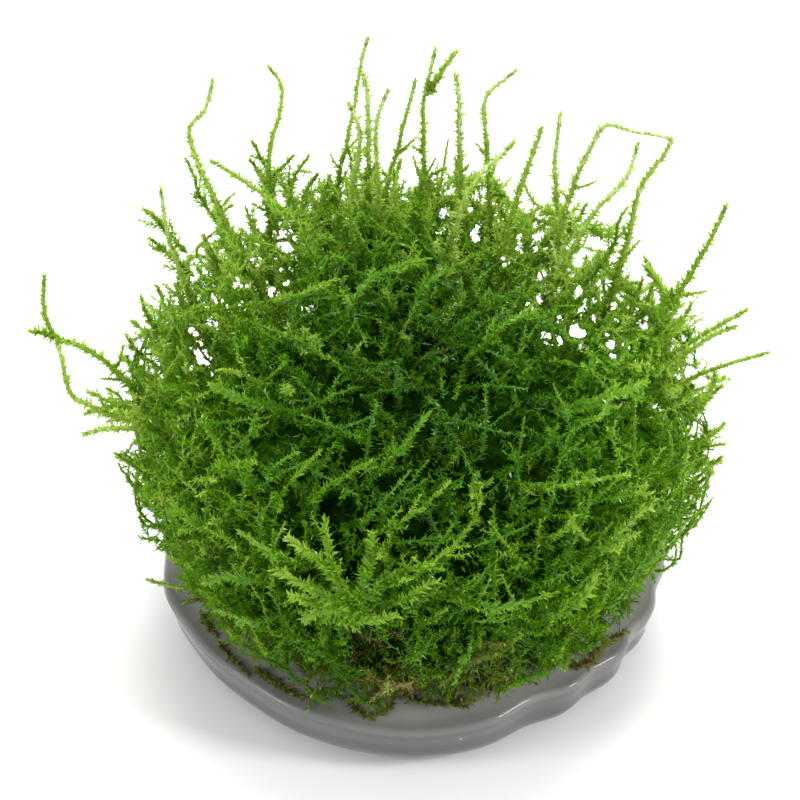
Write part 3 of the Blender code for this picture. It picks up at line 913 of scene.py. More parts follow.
def smoothRoute(route, step=longShoot["step"], rootLength=0):
    # Evenly spaced points on a smooth curve: a straight root, then the route
    knots = [Vector(point) for point in route]
    if rootLength > 0:
        knots.insert(0, knots[0] + (knots[0] - knots[1]).normalized() * rootLength)
    ends = [knots[0] * 2 - knots[1], *knots, knots[-1] * 2 - knots[-2]]
    fine = []
    for index in range(1, len(ends) - 2):
        before, start, end, after = ends[index - 1 : index + 3]
        leave = start + (end - before) / 6
        fine += geometry.interpolate_bezier(start, leave, end - (after - start) / 6, end, 9)[:-1]
    fine = np.array([*fine, knots[-1]])
    along = pathLengths(fine)
    return resample(fine, along, np.linspace(0, along[-1], max(4, round(along[-1] / step))))


def growTwig(growth, start, heading, facing, length, tint):
    # A side shoot of a long one
    end = start + length * unit(heading + np.array((0, 0, 0.3)) + random.normal(0, 0.14, 3))
    points = curvePoints(start, start + heading * length * 0.5, end, 6)
    growth.stem(points, facing, longShoot["stemRadius"] * 0.7, tint + 0.04)
    for kind in ("scale", "hook"):
        growth.leaves(points, facing, kind, tint, 0.0, 0.8)


def growLongShoot(growth, route, rootLength, tint, endsFree):
    points = smoothRoute(route, rootLength=rootLength)
    count = len(points)
    sway = np.array([noise.noise_vector(Vector(point) / 2.5) for point in points]) * 0.16
    points = points + sway * np.sin(np.linspace(0, math.pi, count))[:, None]
    facing = unit(np.array((0, -0.8, 0.3)) + random.normal(0, 0.4, 3))
    tint += longShoot["tint"] + random.normal(0, 0.03)
    girth = random.uniform(*longShoot["girth"])
    # Painted shade towards the root on the stem, the scale and hook leaves and, by 0.12, the bushy mass
    # leaves
    growth.stem(points, facing, longShoot["stemRadius"] * girth, tint + 0.04, longShoot["paintedRootShade"], 0.7)
    for kind in ("scale", "hook"):
        growth.leaves(points, facing, kind, tint - 0.02, 0.0, girth, longShoot["paintedRootShade"])
    growth.leaves(points, facing, "hook", tint - longShoot["hookDim"], 0.0, girth * 0.85)
    bushy = points[: max(4, int(count * longShoot["bushyShare"]))]
    growth.leaves(bushy, facing, "mass", tint - 0.1, 0.0, 1.2 * girth, 0.12)
    if endsFree:
        bud = points[-1] + unit(points[-1] - points[-3]) * np.linspace(-1.7, -0.6, 4)[:, None]
        for side in (facing, -facing):
            growth.leaves(bud, side, "bud", longShoot["budTint"])
    length = (count - 1) * longShoot["step"]
    for number in range(int(length * longShoot["branchShare"] / longShoot["branchEvery"])):
        row = int((number + random.uniform(0.3, 1)) * longShoot["branchEvery"] / longShoot["step"])
        if row >= count - 2:
            continue
        lean = forkOff(points, row, facing, number % 2 * 2 - 1, 0.65, 0.75, 0.2)[0]
        long = longShoot["branchLength"] * random.uniform(0.4, 1.3)
        growTwig(growth, points[row], lean, facing, long, tint - 0.1)


def addLongShoots():
    families = {"crown": crownRoutes, "left": leftRoutes, "right": rightRoutes, "back": backRoutes}
    for family, routes in families.items():
        growth = Growth(family + "_leafy_shoots", freshLeaves)
        for number, route in enumerate(routes, 1):
            name = (family, number)
            rootLength = 0 if name in forked else longShoot["rootLength"]
            tint = longShoot["familyTint"][family]
            growLongShoot(growth, (*route, *meetings.get(name, ())), rootLength, tint, name not in meetings)
        growth.build("fresh_moss", *[f"{family}_shoot_{number:02d}" for number in range(1, len(routes) + 1)])


# Rim twigs: bushy short shoots that fill the outline between the long ones, tip first, in millimetres

rimTwigs = {
    "rootDepth": 4,
    "stemRadius": 0.2,
    "size": (0.95, 1.25),
    "tint": 0.80,
    "branchEvery": 1.9,
    "branchLength": (1.2, 3.2),
    "budShare": 0.5,
}
rimRoutes = (
    ((-20.5, 22, 60.5), (-19.5, 22, 57.5), (-18.5, 21, 55), (-18.5, 19, 52.5)),
    ((-21, 22, 57.5), (-20, 22, 55.5), (-19, 21, 53.5), (-18, 19, 52.5)),
    ((-15.5, 21, 59), (-16.5, 21, 57.5), (-18, 21, 55.5), (-18.5, 19, 53.5)),
    ((-13.5, 20, 59.5), (-14.5, 20, 58), (-15.5, 20, 56), (-16, 18, 53.5)),
    ((-12.5, 20, 56.5), (-13.5, 20, 54.5), (-14.5, 17, 52.5)),
    ((-11, 22, 54.5), (-11.5, 21, 53), (-12.5, 17, 52)), ((-17, 22, 54), (-16, 21, 52), (-15, 18, 50.5)),
    ((-21.5, 20, 51), (-21, 19, 49.5), (-19.5, 15, 49)), ((-23.5, 20, 51.5), (-25, 19, 50), (-24, 15, 49)),
    ((-27, 17, 49), (-26, 16, 47.5), (-25, 14, 46), (-24.5, 11, 46)),
    ((-32.5, 9, 47.5), (-32, 8, 46), (-30.5, 5, 45)), ((-35.5, 5, 45), (-34, 4, 44.5), (-31.5, 2, 44)),
    ((-36.5, 4, 43.5), (-35.5, 3, 42.5), (-34, 2, 41.5), (-31.5, 0, 41)),
    ((-39, 2, 36.5), (-37, 1, 35.5), (-34, -2, 36)), ((-34, 14, 56), (-32.5, 14, 54.5), (-31.5, 13, 53.5)),
    ((-33.5, 13, 52), (-32.5, 13, 51), (-31, 12, 50)),
    ((-29, 20, 59), (-28, 19, 57.5), (-27.5, 18, 55.5), (-26.5, 17, 54)),
    ((-28.5, 14, 48), (-29.5, 12, 47.5), (-30, 9, 46.5)), ((-34.5, 6, 48), (-33.5, 5, 45.5), (-31, 3, 44)),
    ((-41.5, -1, 35), (-39, -1, 36), (-35, -3, 37)), ((-41, 0, 37.5), (-38.5, -1, 37), (-34.5, -3, 37.5)),
    ((-37.5, -5, 31), (-34.5, -6, 31), (-31.5, -8, 32)), ((-35.5, 3, 39), (-34, 2, 38), (-31.5, 0, 37)),
    ((-35, -8, 28), (-32, -10, 28.5), (-29.5, -12, 29.5)), ((3.5, 23, 55), (2, 23, 54), (1, 22, 53)),
    ((3.5, 24, 52.5), (2, 23, 52), (1, 21, 51)),
    ((5.5, 26, 53), (5, 25, 51), (6, 24, 50.5), (8, 23, 48.5), (9.5, 21, 48)),
    ((6, 24, 50.5), (4, 23, 50), (1.5, 20, 50)), ((6, 24, 50.5), (7, 24, 51.5), (9, 24, 52.5)),
    ((9, 26, 53.5), (10, 24, 52), (11, 23, 51), (12.5, 21, 50), (14, 18, 49.5)),
    ((10, 24, 52), (10.5, 22, 50.5), (11.5, 20, 49.5), (12.5, 17, 49)),
    ((9.5, 22, 49), (7, 21, 48.5), (4.5, 18, 49.5)),
    ((14, 22, 53), (15, 21, 51.5), (16, 20, 51), (18, 18, 51.5)),
    ((17.5, 21, 53.5), (18, 20, 51.5), (18.5, 17, 51.5)), ((14, 21, 49), (15.5, 20, 49), (18, 18, 50)),
    ((21.5, 18, 53), (20.5, 17, 51.5), (18.5, 16, 51)), ((24.5, 16, 51), (22.5, 16, 51), (20.5, 15, 51)),
    ((25, 14, 52), (23.5, 14, 51.5), (22, 15, 52)),
    ((26.5, 14, 56), (25.5, 13, 55), (25, 12, 52), (23.5, 10, 50.5)),
    ((24.5, 11, 48), (26.5, 9, 47), (28.5, 7, 46.5), (30, 4, 46.5)),
    ((29, 10, 50), (30.5, 9, 48), (31.5, 6, 48)), ((30, 9, 47.5), (29, 7, 46.5), (28, 5, 45.5)),
    ((28.5, 9, 48.5), (28, 8, 47), (27, 6, 46)), ((34.5, 6, 47), (33.5, 5, 45.5), (32, 3, 45)),
    ((33, 8, 49), (33, 6, 48), (32, 4, 46.5)), ((38.5, -1, 39.5), (36.5, -2, 38), (34, -4, 38)),
    ((37.5, 0, 41), (37.5, -1, 39.5), (35, -3, 39)), ((38, -4, 35), (36.5, -5, 34), (34.5, -7, 35)),
    ((38.5, -6, 31), (36.5, -7, 32), (33.5, -9, 33)), ((36, -9, 28), (34.5, -10, 30), (32, -12, 32.5)),
    ((-8.5, 24, 57.5), (-8, 23, 55), (-7.5, 20, 53.5)), ((-5, 23, 55), (-5, 22, 53.5), (-4.5, 19, 52.5)),
    ((-2, 24, 55.5), (-2.5, 23, 53.5), (-3, 20, 51.5)),
)


def addRimTwigs(cushion):
    growth = Growth("rim_twigs", freshLeaves)
    for route in rimRoutes:
        knots = np.array(route[::-1], float)
        inward = unit(cushion.middle - knots[0]) + unit(knots[0] - knots[1])
        points = smoothRoute([knots[0] + unit(inward) * rimTwigs["rootDepth"], *knots])
        points = points + random.normal(0, 0.07, points.shape)
        facing = unit(np.array((0, -0.7, 0.5)) + random.normal(0, 0.4, 3))
        tint = rimTwigs["tint"] + random.normal(0, 0.04)
        size = random.uniform(*rimTwigs["size"])
        # Painted shade towards the root: 0.14 on the stem and leaves
        growth.stem(points, facing, rimTwigs["stemRadius"], tint + 0.04, 0.14, 0.7)
        growth.leaves(points, facing, "frond", tint - 0.02, 0.0, size, 0.14)
        growth.leaves(points, facing, "scale", tint + 0.03, 0.0, size, 0.14)
        if random.random() < rimTwigs["budShare"]:
            bud = points[-1] + unit(points[-1] - points[-3]) * np.linspace(-1.5, -0.5, 4)[:, None]
            growth.leaves(bud, facing, "bud", longShoot["budTint"], 0.0, 0.9)
        for number in range(int(len(points) * longShoot["step"] * 0.8 / rimTwigs["branchEvery"])):
            row = random.integers(1, max(2, len(points) - 3))
            headings = forkOff(points, row, facing, number % 2 * 2 - 1, 0.7, 0.7, 0.2)
            long = random.uniform(*rimTwigs["branchLength"])
            growBranch(growth, points[row], headings, facing, long, "frond", tint - 0.06)
    growth.build("fresh_moss", "moss_cushion")


# Front fronds: the ones that stand out on the cushion's front, routes in millimetres on its surface

frontFronds = {
    "lift": 0.8,  # mm above the cushion
    "rootDepth": 5,
    "stemRadius": 0.16,
    "dim": 0.07,
    "branchEvery": 2.6,
    "branchLength": (1.2, 3.2),
}
starRoot = (-7.2, -33.8, 34.1)

# Leaf kind, tint, leaf size and the route from root to tip
frontRoutes = (
    ("mass", 0.86, 1.0, (-2, -33.7, 38.1), (2.6, -33.2, 41.6), (5.8, -30.6, 43.4),
     (7.3, -29.5, 46.2), (7.5, -28.5, 49.1)),
    ("mass", 0.84, 1.0, (16.5, -26, 46.6), (21.9, -22.9, 44.8), (25.1, -22.3, 44.8)),
    ("plume", 0.84, 0.9, (8.8, -35, 35.2), (13.6, -32.3, 33.5), (16.6, -31.9, 34.6)),
    ("plume", 0.87, 1.25, starRoot, (-10.8, -31.5, 39.2), (-15.1, -29.7, 41)),
    ("plume", 0.85, 1.1, starRoot, (-9.8, -31.7, 39.4), (-10.8, -29, 43.7)),
    ("plume", 0.82, 1.15, starRoot, (-5.4, -32.2, 39.9), (-5.2, -31.5, 44.3)),
    ("plume", 0.88, 1.3, starRoot, (-12.3, -32.2, 35.6), (-16.4, -30.7, 37.2)),
    ("plume", 0.88, 1.25, starRoot, (-11.7, -32.1, 32.9), (-14.6, -32.5, 34.7)),
    ("plume", 0.83, 1.0, starRoot, (-3.2, -33.1, 38.2), (2.2, -33.7, 41.3)),
    ("plume", 0.86, 1.0, (-1.8, -33.9, 35.4), (2.3, -34.6, 39.2)),
    ("mass", 0.74, 0.9, (6.5, -33.5, 27), (5.5, -33.4, 24.6), (4.7, -33, 20.1)),
    ("mass", 0.84, 0.9, (-28.3, -17.4, 41.3), (-25.7, -17.2, 44.8)),
    ("plume", 0.82, 0.9, (-23.3, -21.4, 44.9), (-19, -23.9, 48.5)),
    ("mass", 0.8, 0.95, (-15.9, -26.7, 46), (-11.4, -23.9, 50.1)),
    ("mass", 0.78, 0.95, (-11.6, -27.1, 46.4), (-8.6, -26.5, 48.5), (-5.5, -25.7, 50.2)),
    ("plume", 0.8, 1.0, (-20, -27.7, 32.7), (-22.5, -25.8, 31.3), (-25.4, -25, 29.2)),
    ("plume", 0.78, 1.1, (-19.3, -29.5, 27.1), (-21.7, -27.8, 26.5), (-24, -26, 25.7)),
    ("plume", 0.84, 1.1, (-8.7, -33.3, 34.8), (-11.1, -32.5, 32.6), (-13.5, -32, 30.3)),
    ("plume", 0.84, 1.0, (-8.2, -34.7, 32.4), (-5.4, -34.8, 32.9), (-2.5, -34.6, 33.4)),
    ("plume", 0.84, 1.0, (22.2, -26.4, 36.7), (25, -23.9, 37.8), (28.2, -19.6, 36.9)),
    ("mass", 0.84, 1.0, (-2, -31.4, 45.7), (1, -28.9, 46.3), (3.7, -27.6, 48.5)),
    ("plume", 0.86, 1.15, (19.4, -30.7, 31.4), (21.6, -27.1, 33)),
    ("plume", 0.85, 0.9, (17.4, -28.8, 41.6), (18.6, -28.5, 43.8)),
    ("mass", 0.82, 1.0, (-28.7, 0.3, 49.5), (-22.1, -1.5, 52.6), (-15.3, -3.5, 56.2), (-9.4, 0.9, 55.1)),
    ("mass", 0.76, 0.95, (-7.6, -5.1, 57), (-3.7, 0.6, 56.7), (1.5, 4.1, 55.6)),
    ("mass", 0.76, 0.9, (1.1, -0.3, 54.8), (4, 3.9, 53.9), (6.3, 6.1, 53.5)),
    ("mass", 0.76, 0.9, (-10.5, -12.1, 54.3), (-13, -9.8, 54.6), (-15.4, -8.7, 54.8)),
    ("mass", 0.76, 0.9, (10.3, -8.3, 55.7), (14, -3.6, 54.8)),
    ("plume", 0.8, 0.9, (-20.3, -15.1, 50.4), (-24.7, -10.7, 48.8)),
    ("plume", 0.82, 0.9, (22.4, -16, 51.2), (27.6, -9.7, 47.9)),
    ("mass", 0.72, 0.95, (-4.4, -26.1, 49.1), (-0.8, -22.9, 51.1), (1.4, -20.1, 52.6)),
    ("plume", 0.8, 1.0, (-14.1, -30.3, 38), (-17.7, -29.9, 39.7), (-20.8, -26.7, 39.5)),
    ("plume", 0.82, 1.0, (-26.6, -21.9, 36.5), (-29.3, -20, 38.2)),
    ("mass", 0.82, 0.9, (12.6, -30.9, 38.6), (10.1, -30.7, 42.6), (8.7, -29.6, 44.1)),
    ("plume", 0.8, 1.0, (27.9, -20.6, 28.3), (30.4, -17.8, 29.9)),
)


def addFrontFronds(cushion):
    growth = Growth("front_fronds", faceLeaves)
    for kind, tint, size, *route in frontRoutes:
        knots = np.array(route, float)
        outward = unit(knots - cushion.middle)
        knots = knots + outward * frontFronds["lift"]
        depth = frontFronds["rootDepth"]
        root = knots[0] - unit(knots[1] - knots[0]) * depth - outward[0] * depth
        points = smoothRoute([root, *knots])
        points = points + random.normal(0, 0.08, points.shape)
        facing = unit(outward.mean(axis=0) + random.normal(0, 0.2, 3))
        tint -= frontFronds["dim"]
        # Painted shade towards the root: 0.25 on the stem and leaves
        growth.stem(points, facing, frontFronds["stemRadius"], tint + 0.05, 0.25)
        growth.leaves(points, facing, kind, tint, 0.0, size, 0.25)
        if kind == "mass":
            growth.leaves(points, facing, "scale", tint + 0.04, 0.0, size, 0.25)
        for number in range(int(len(points) * longShoot["step"] / frontFronds["branchEvery"])):
            row = random.integers(1, len(points) - 2)
            headings = forkOff(points, row, facing, number % 2 * 2 - 1, 0.75, 0.65, 0.15)
            long = random.uniform(*frontFronds["branchLength"])
            growBranch(growth, points[row], headings, facing, long, "mass", tint - 0.05)
    growth.build("fresh_moss", "moss_cushion")


# Foot growth: short old shoots that creep round the foot and out over the gel

foot = {
    "count": 330,
    "radius": (25.5, 31.8),  # mm from the middle
    "frontInset": 4.0,
    "level": (10.2, 13.5),
    "drift": 0.9,  # how far a shoot turns along the foot
    "length": (3.5, 8),
    "oldShare": 0.72,
    "stemRadius": 0.13,
    "strandTint": 0.2,
    # old strands that lie on the gel's front: a curled frond, two feathers and loose ends to both sides
    "strands": (
        ((-8, -26.4), (-7.8, -28.4), (-6.7, -29.8), (-5.2, -30.1), (-3.7, -29.1), (-2.7, -27.2)),
        ((-2.2, -25.7), (-0.5, -26.9), (1.8, -27.7), (4.1, -27.9), (6.3, -28.4)),
        ((2.8, -26.4), (5, -27.2), (7.1, -27.4)),
        ((18.8, -20.9), (20.6, -21.3), (22.1, -20.9), (23.1, -19.5), (24.4, -17.4), (26.6, -15.5)),
        ((-25.3, -17.1), (-24.1, -19), (-22.8, -20.9), (-21.3, -22.7)),
        ((-20.6, -21.6), (-18.7, -23.6), (-16.7, -25.3), (-14.4, -26.9)),
        ((-27.6, -11.9), (-26.7, -14), (-25.5, -15.8)),
    ),
}

# Strands of old growth that the gel has set round, under its clear top

strands = {
    "count": 170,
    "radius": (27.5, 31.2),
    "frontInset": 0,
    "level": (8.3, 9.4),
    "drift": 1.0,
    "length": (2.5, 5.5),
    "stemRadius": 0.14,
    "size": 1.15,
}


def footRing(setting):
    # Tips all round the foot, each with the way out and a way along the ring
    for number in range(setting["count"]):
        turn = 2 * math.pi * (number + random.uniform(-0.5, 0.5)) / setting["count"]
        outward = np.array((math.cos(turn), math.sin(turn), 0))
        along = np.array((-math.sin(turn), math.cos(turn), 0)) * random.normal(0, setting["drift"])
        inset = setting["frontInset"] * max(0.0, -outward[1]) ** 2
        tip = outward * (random.uniform(*setting["radius"]) - inset)
        tip[2] = random.uniform(*setting["level"])
        yield tip, outward, along


def addFoot():
    growth = Growth("foot_growth", oldLeaves)
    for tip, outward, along in footRing(foot):
        heading = unit(outward * 0.7 + along + np.array((0, 0, random.normal(0.15, 0.25))))
        length = random.uniform(*foot["length"])
        handle = tip - heading * length * 0.4 + np.array((0, 0, 0.8))
        points = curvePoints(tip - heading * length, handle, tip, 6)
        points[:, 2] = np.maximum(points[:, 2], foot["level"][0])
        facing = unit(np.array((0, 0, 1)) + outward * 0.5 + random.normal(0, 0.4, 3))
        front = math.exp(-(((tip[0] - 4) / 12) ** 2)) * max(0.0, -outward[1])
        old = random.random() < foot["oldShare"] + 0.5 * noise.noise(Vector(tip) / 6) + 0.3 * front
        tint = random.uniform(0.1, 0.28) - 0.08 * front if old else random.uniform(0.36, 0.6)
        growth.stem(points, facing, foot["stemRadius"], tint)
        # Painted shade towards the root: 0.05 on the leaves
        growth.leaves(points, facing, "mass", tint, 0.0, 0.9, 0.05)
        for row in (1, 3):
            headings = forkOff(points, row, facing, random.choice((-1, 1)), 0.8, 0.7)
            headings[0][2] = max(headings[0][2], -0.02)
            growBranch(growth, points[row], headings, facing, random.uniform(1.2, 3), "mass", tint)
    for route in foot["strands"]:
        points = smoothRoute([(x, y, foot["level"][0]) for x, y in route], 0.5)
        growStrand(growth, points, foot["strandTint"] + random.normal(0, 0.03))
    growth.build("dense_moss", "moss_cushion")


def addStrands():
    growth = Growth("strands_in_gel", oldLeaves)
    for tip, outward, along in footRing(strands):
        heading = unit(outward * 0.5 + along)
        length = random.uniform(*strands["length"])
        start = tip - heading * length
        start[2] = strands["level"][1]
        points = curvePoints(start, tip - heading * length * 0.4, tip, 7)
        growStrand(growth, points, random.uniform(0.14, 0.26))
    growth.build("dense_moss")


def growStrand(growth, points, tint):
    facing = unit(np.array((0, 0, 1)) + random.normal(0, 0.4, 3))
    growth.stem(points, facing, strands["stemRadius"], tint)
    growth.leaves(points, facing, "frond", tint, 0.0, strands["size"])


# Loose bits on the gel: a green sprig, a pale tuft and a few pale crumbs

sprig = {
    "routes": (
        (((-14.1, -25.6, 10.2), (-12.1, -25.8, 10.5), (-9.7, -25.5, 10.4)), 0.66, "mass"),
        (((-11.6, -25.7, 10.4), (-12.8, -27.2, 10.4), (-13.5, -29.1, 10.2)), 0.62, "mass"),
        (((-3.5, -30.2, 14.2), (-3.5, -32, 17), (-3.4, -33, 20)), 0.9, "frond"),
        (((15.8, -20.5, 10.4), (16.4, -21.2, 10.3), (17, -21.6, 10.2)), 0.95, "frond"),
        (((11.4, -21.4, 10.3), (12, -21.9, 10.3), (12.7, -22, 10.2)), 0.93, "frond"),
    ),
    "stemRadius": 0.14,
}


def addSprig():
    growth = Growth("loose_sprigs", freshLeaves)
    for route, tint, kind in sprig["routes"]:
        points = smoothRoute(route, 0.4)
        facing = unit(np.array((0, -0.3, 1)) + random.normal(0, 0.2, 3))
        growth.stem(points, facing, sprig["stemRadius"], tint)
        growth.leaves(points, facing, kind, tint, 0.0, 0.9)
    growth.build("fresh_moss", "moss_cushion")


gel = {
    "radius": 32.5,
    "height": 10,
    "rimRound": 0.8,
    "wallFootRadius": 31.5,
    "footRoundWidth": 9,
    "footRoundHeight": 6,
    "steps": 192,
    "ripple": 0.10,
    # angle from +X towards the front, depth of the dent, half width
    "dents": (
        (-10, 0.4, 8), (12, 0.6, 4), (28, 1.0, 4), (44, 1.1, 6), (61, 1.8, 9), (92, -0.4, 12),
        (133, 0.5, 10), (166, -0.7, 8),
    ),
    # colours from the middle of the top (0) over its rim (0.5) to the foot (1): painted light on the top near
    # the moss, painted shade down the side
    "colours": (
        (0.41, (0.98, 0.955, 0.86)),
        (0.455, (0.68, 0.67, 0.63)),
        (0.49, (0.40, 0.40, 0.385)),
        (0.56, (0.28, 0.283, 0.275)),
        (0.85, (0.225, 0.23, 0.23)),
    ),
    "wall": (4.0, 9.6),  # mm above the floor, between which painted shade darkens the side downwards
    "cloudiness": 0.05,
    "roughness": 0.13,
    "clearness": 0.56,
    "murk": (0.60, 0.60, 0.57, 1),
    "murkDensity": 160,  # per metre
    "front": (-22, 0),  # mm, where painted light turns the rim from the front's lighter tone to the back's
    "frontShare": 0.035,
    "cornerShare": (0.02, 0.01),  # painted shade: darker rim to both sides of the front, and more so on the left
}


def gelProfile():
    # Half section from the middle of the top to the middle of the foot, in millimetres
    points = [(gel["radius"] * share, gel["height"]) for share in (0, 0.3, 0.6, 0.85)]
    for step in range(5):
        angle = math.pi / 2 * step / 4
        drop = gel["rimRound"] * (1 - math.cos(angle))
        points.append((gel["radius"] - gel["rimRound"] * (1 - math.sin(angle)), gel["height"] - drop))
    for share in (0.35, 0.7):
        radius = gel["radius"] + (gel["wallFootRadius"] - gel["radius"]) * share
        top = gel["height"] - gel["rimRound"]
        points.append((radius, top + (gel["footRoundHeight"] - top) * share))
    for step in range(11):
        angle = math.pi / 2 * step / 10
        radius = gel["wallFootRadius"] - gel["footRoundWidth"] * (1 - math.cos(angle))
        points.append((radius, gel["footRoundHeight"] * (1 - math.sin(angle))))
    return [*points, (gel["radius"] * 0.45, 0)]


def gelMaterial():
    sheet = Sheet("clear growing gel")
    spot = sheet.node("ShaderNodeTexCoord", None, None, "Object")
    cloud = sheet.node("ShaderNodeTexNoise", None, {"Vector": spot, "Scale": 90.0, "Detail": 4.0}, "Fac")
    fine = sheet.node("ShaderNodeTexNoise", None, {"Vector": spot, "Scale": 900.0, "Detail": 3.0}, "Fac")
    across, forward, level = (sheet.node("ShaderNodeSeparateXYZ", None, {0: spot}, axis) for axis in "XYZ")
    flat = sheet.node("ShaderNodeVectorMath", {"operation": "MULTIPLY"}, {0: spot, 1: (1, 1, 0)})
    out = sheet.node("ShaderNodeVectorMath", {"operation": "LENGTH"}, {0: flat}, "Value")
    # Painted light and shade: lighter on the top near the moss, darker down the side and at the front's
    # corners, shifted between front and back
    corner = across * forward * (2 / (gel["radius"] * mm) ** 2)
    both = sheet.node("ShaderNodeMath", {"operation": "ABSOLUTE"}, {0: corner})
    near, far = (place * mm for place in gel["front"])
    front = sheet.node("ShaderNodeMapRange", None, {0: forward, 1: near, 2: far, 4: gel["frontShare"]})
    low, high = (place * mm for place in gel["wall"])
    side = sheet.node("ShaderNodeMapRange", None, {0: level, 1: low, 2: high, 3: 1.0, 4: 0.0})
    share = out * (500 / gel["radius"]) + (cloud - 0.5) * gel["cloudiness"] - front + side * 0.5
    share = share + both * gel["cornerShare"][0] + corner * gel["cornerShare"][1]
    values = {
        "Base Color": sheet.node("ShaderNodeValToRGB", {"stops": gel["colours"]}, {0: share}),
        "Roughness": gel["roughness"] + 0.05 * fine,
        "IOR": 1.335,
        "Transmission Weight": gel["clearness"],
    }
    relief = {"Strength": 0.12, "Distance": 0.0004, "Height": cloud + fine * 0.25}
    values["Normal"] = sheet.node("ShaderNodeBump", None, relief)
    body = sheet.node("ShaderNodeBsdfPrincipled", None, values)
    values = {"Color": gel["murk"], "Density": gel["murkDensity"]}
    return sheet.finish(body, sheet.node("ShaderNodeVolumeAbsorption", None, values))


def addGel():
    rings = gelProfile()[1:]
    steps = gel["steps"]
    points = [(0, 0, gel["height"])]
    for radius, height in rings:
        for step in range(steps):
            angle = 360 * step / steps
            turn = angle if angle <= 180 else angle - 360
            dent = sum(deep * math.exp(-(((turn - place) / wide) ** 2)) for place, deep, wide in gel["dents"])
            torn = math.exp(-(((turn - 40) / 45) ** 2))
            spot = Vector((math.cos(math.radians(angle)), math.sin(math.radians(angle)), height / 14))
            wave = noise.noise(spot * 3) + torn * 1.2 * noise.noise(spot * 5)
            outer = (radius / gel["radius"]) ** 3
            reach = radius - outer * (dent + wave * gel["ripple"])
            points.append((reach * spot.x, -reach * spot.y, height))
    points.append((0, 0, 0))
    faces = []
    for step in range(steps):
        after = (step + 1) % steps
        faces.append((0, 1 + after, 1 + step))
        for a in range(1, 1 + (len(rings) - 1) * steps, steps):
            b = a + steps
            faces.append((a + step, a + after, b + after, b + step))
        faces.append((b + step, b + after, len(points) - 1))
    mesh = bpy.data.meshes.new("clear_gel_plug")
    mesh.from_pydata([Vector(point) * mm for point in points], [], faces)
    mesh.shade_smooth()
    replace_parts(addPiece("clear_gel_plug", mesh, gelMaterial()), "gel_plug")
    print("gel plug", len(faces), "faces")


# Bubbles in the gel

bubbles = {
    "air": 0.749,  # refraction from gel into air
    # place and radius in mm
    "spots": (
        (6.5, -30.2, 8, 0.5), (-1.6, -30.5, 9.3, 0.16), (-2.1, -31.4, 8.6, 0.25), (5.6, -31.6, 7.6, 0.14),
        (1.6, -31.2, 8.4, 0.2), (9.9, -28.4, 8.8, 0.14), (-12, -27.5, 9.1, 0.16), (17.5, -24.6, 8.9, 0.18),
        (-21, -20.9, 9, 0.2), (23, 19, 8.8, 0.2), (-14, 27, 8.8, 0.25), (3, 29.5, 9, 0.16),
        (-29, 6, 8.8, 0.2),
    ),
}


def addBubbles():
    sheet = Sheet("air bubbles")
    values = {"Base Color": (0.8, 0.8, 0.78, 1), "Roughness": 0.12, "IOR": bubbles["air"]}
    values["Transmission Weight"] = 1
    shape = bmesh.new()
    for *place, radius in bubbles["spots"]:
        where = Matrix.Translation(Vector(place) * mm)
        bmesh.ops.create_icosphere(shape, subdivisions=2, radius=radius * mm, matrix=where)
    mesh = bpy.data.meshes.new("gel_bubbles")
    shape.to_mesh(mesh)
    shape.free()
    mesh.shade_smooth()
    finish = sheet.finish(sheet.node("ShaderNodeBsdfPrincipled", None, values))
    addPiece("gel_bubbles", mesh, finish)
    print("gel bubbles", len(bubbles["spots"]))


# Dark heart of the cushion: a lumpy shell for the dense moss inside, its near black colour painted shade

heart = {
    "rings": 60,
    "steps": 120,
    "inset": 4.2,
    "shoulderInset": 9,
    "least": 11,
    "lumps": 1.2,
    "lumpScale": 5.5,
    # near black greens: painted shade of the inside
    "stops": (
        (0.35, (0.003, 0.010, 0.001)),
        (0.55, (0.006, 0.024, 0.001)),
        (0.72, (0.016, 0.048, 0.002)),
        (0.95, (0.040, 0.115, 0.006)),
    ),
    "flank": (10, 24),  # mm from the middle, where painted light turns the heart's colour lighter
    "flankPaintedLight": 0.34,
}


def heartMaterial():
    sheet = Sheet("old moss heart in painted shade")
    spot = sheet.node("ShaderNodeTexCoord", None, None, "Object")
    grain = sheet.node("ShaderNodeTexNoise", None, {"Vector": spot, "Scale": 700.0, "Detail": 5.0}, "Fac")
    across = sheet.node("ShaderNodeSeparateXYZ", None, {0: spot}, "X")
    aside = sheet.node("ShaderNodeMath", {"operation": "ABSOLUTE"}, {0: across})
    # Painted light: the heart lighter towards the flanks
    near, far = (place * mm for place in heart["flank"])
    flank = sheet.node("ShaderNodeMapRange", None, {0: aside, 1: near, 2: far, 4: heart["flankPaintedLight"]})
    colour = sheet.node("ShaderNodeValToRGB", {"stops": heart["stops"]}, {0: grain + flank})
    bump = sheet.node("ShaderNodeBump", None, {"Strength": 1.0, "Distance": 0.001, "Height": grain})
    values = {"Base Color": colour, "Roughness": 0.95, "Specular IOR Level": 0.0, "Normal": bump}
    return sheet.finish(sheet.node("ShaderNodeBsdfPrincipled", None, values))


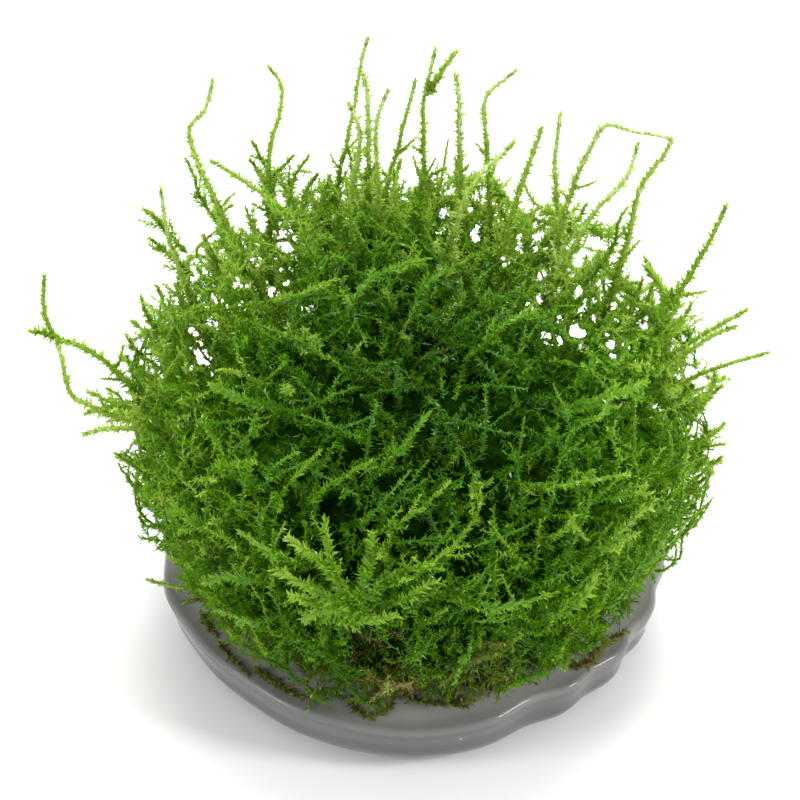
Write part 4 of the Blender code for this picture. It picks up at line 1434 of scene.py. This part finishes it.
def clearReach(middle, directions):
    # How far the heart may reach in each direction before it comes to an opening
    distances = np.arange(heart["least"], 42, 0.5)
    places = middle + directions[:, None] * distances[:, None]
    reach = np.full(len(directions), distances[-1])
    for number, (*_, width) in enumerate(openings["spots"]):
        met = acrossOpening(places, number)[1] < width + openings["heartClear"]
        nearest = np.minimum(reach, distances[met.argmax(axis=1)] - 0.5)
        reach = np.where(met.any(axis=1), nearest, reach)
    return reach


def addHeart(cushion):
    rings = heart["rings"]
    steps = heart["steps"]
    height = np.cos(math.pi * np.repeat(np.arange(1, rings), steps) / rings)
    directions = onBall(height, 2 * math.pi * np.tile(np.arange(steps), rings - 1) / steps)
    points = []
    for direction, clear in zip(directions, clearReach(cushion.middle, directions)):
        lump = noise.noise(Vector(direction) * heart["lumpScale"]) * heart["lumps"]
        inset = heart["inset"] + heart["shoulderInset"] * looseness(direction)
        reach = min(cushion.reach(direction) - inset + lump, clear)
        point = cushion.middle + direction * max(heart["least"], reach)
        point[2] = max(point[2], mass["seat"] - 0.5)
        points.append(point * mm)
    last = (rings - 2) * steps
    faces = []
    for a in range(0, last, steps):
        b = a + steps
        for step in range(steps):
            after = (step + 1) % steps
            faces.append((a + step, b + step, b + after, a + after))
    faces += [range(steps), range(last + steps - 1, last - 1, -1)]
    mesh = bpy.data.meshes.new("moss_heart")
    mesh.from_pydata(points, [], faces)
    mesh.shade_smooth()
    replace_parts(addPiece("moss_heart", mesh, heartMaterial()), "moss_cushion")
    print("heart", len(faces), "faces")


# Making it

addStudio()
addSideOpenings()
cushion = Cushion()
denseLeaves = leafMaterial(leafFinish["dense"])
freshLeaves = leafMaterial(leafFinish["fresh"])
faceLeaves = leafMaterial(leafFinish["face"])
oldLeaves = leafMaterial(leafFinish["old"])
addGel()
addBubbles()
for add in (addHeart, addMass, addFill, addSurfaceShoots, addEdgeShoots):
    add(cushion)
addLongShoots()
addRimTwigs(cushion)
addFrontFronds(cushion)
addFoot()
addStrands()
addSprig()
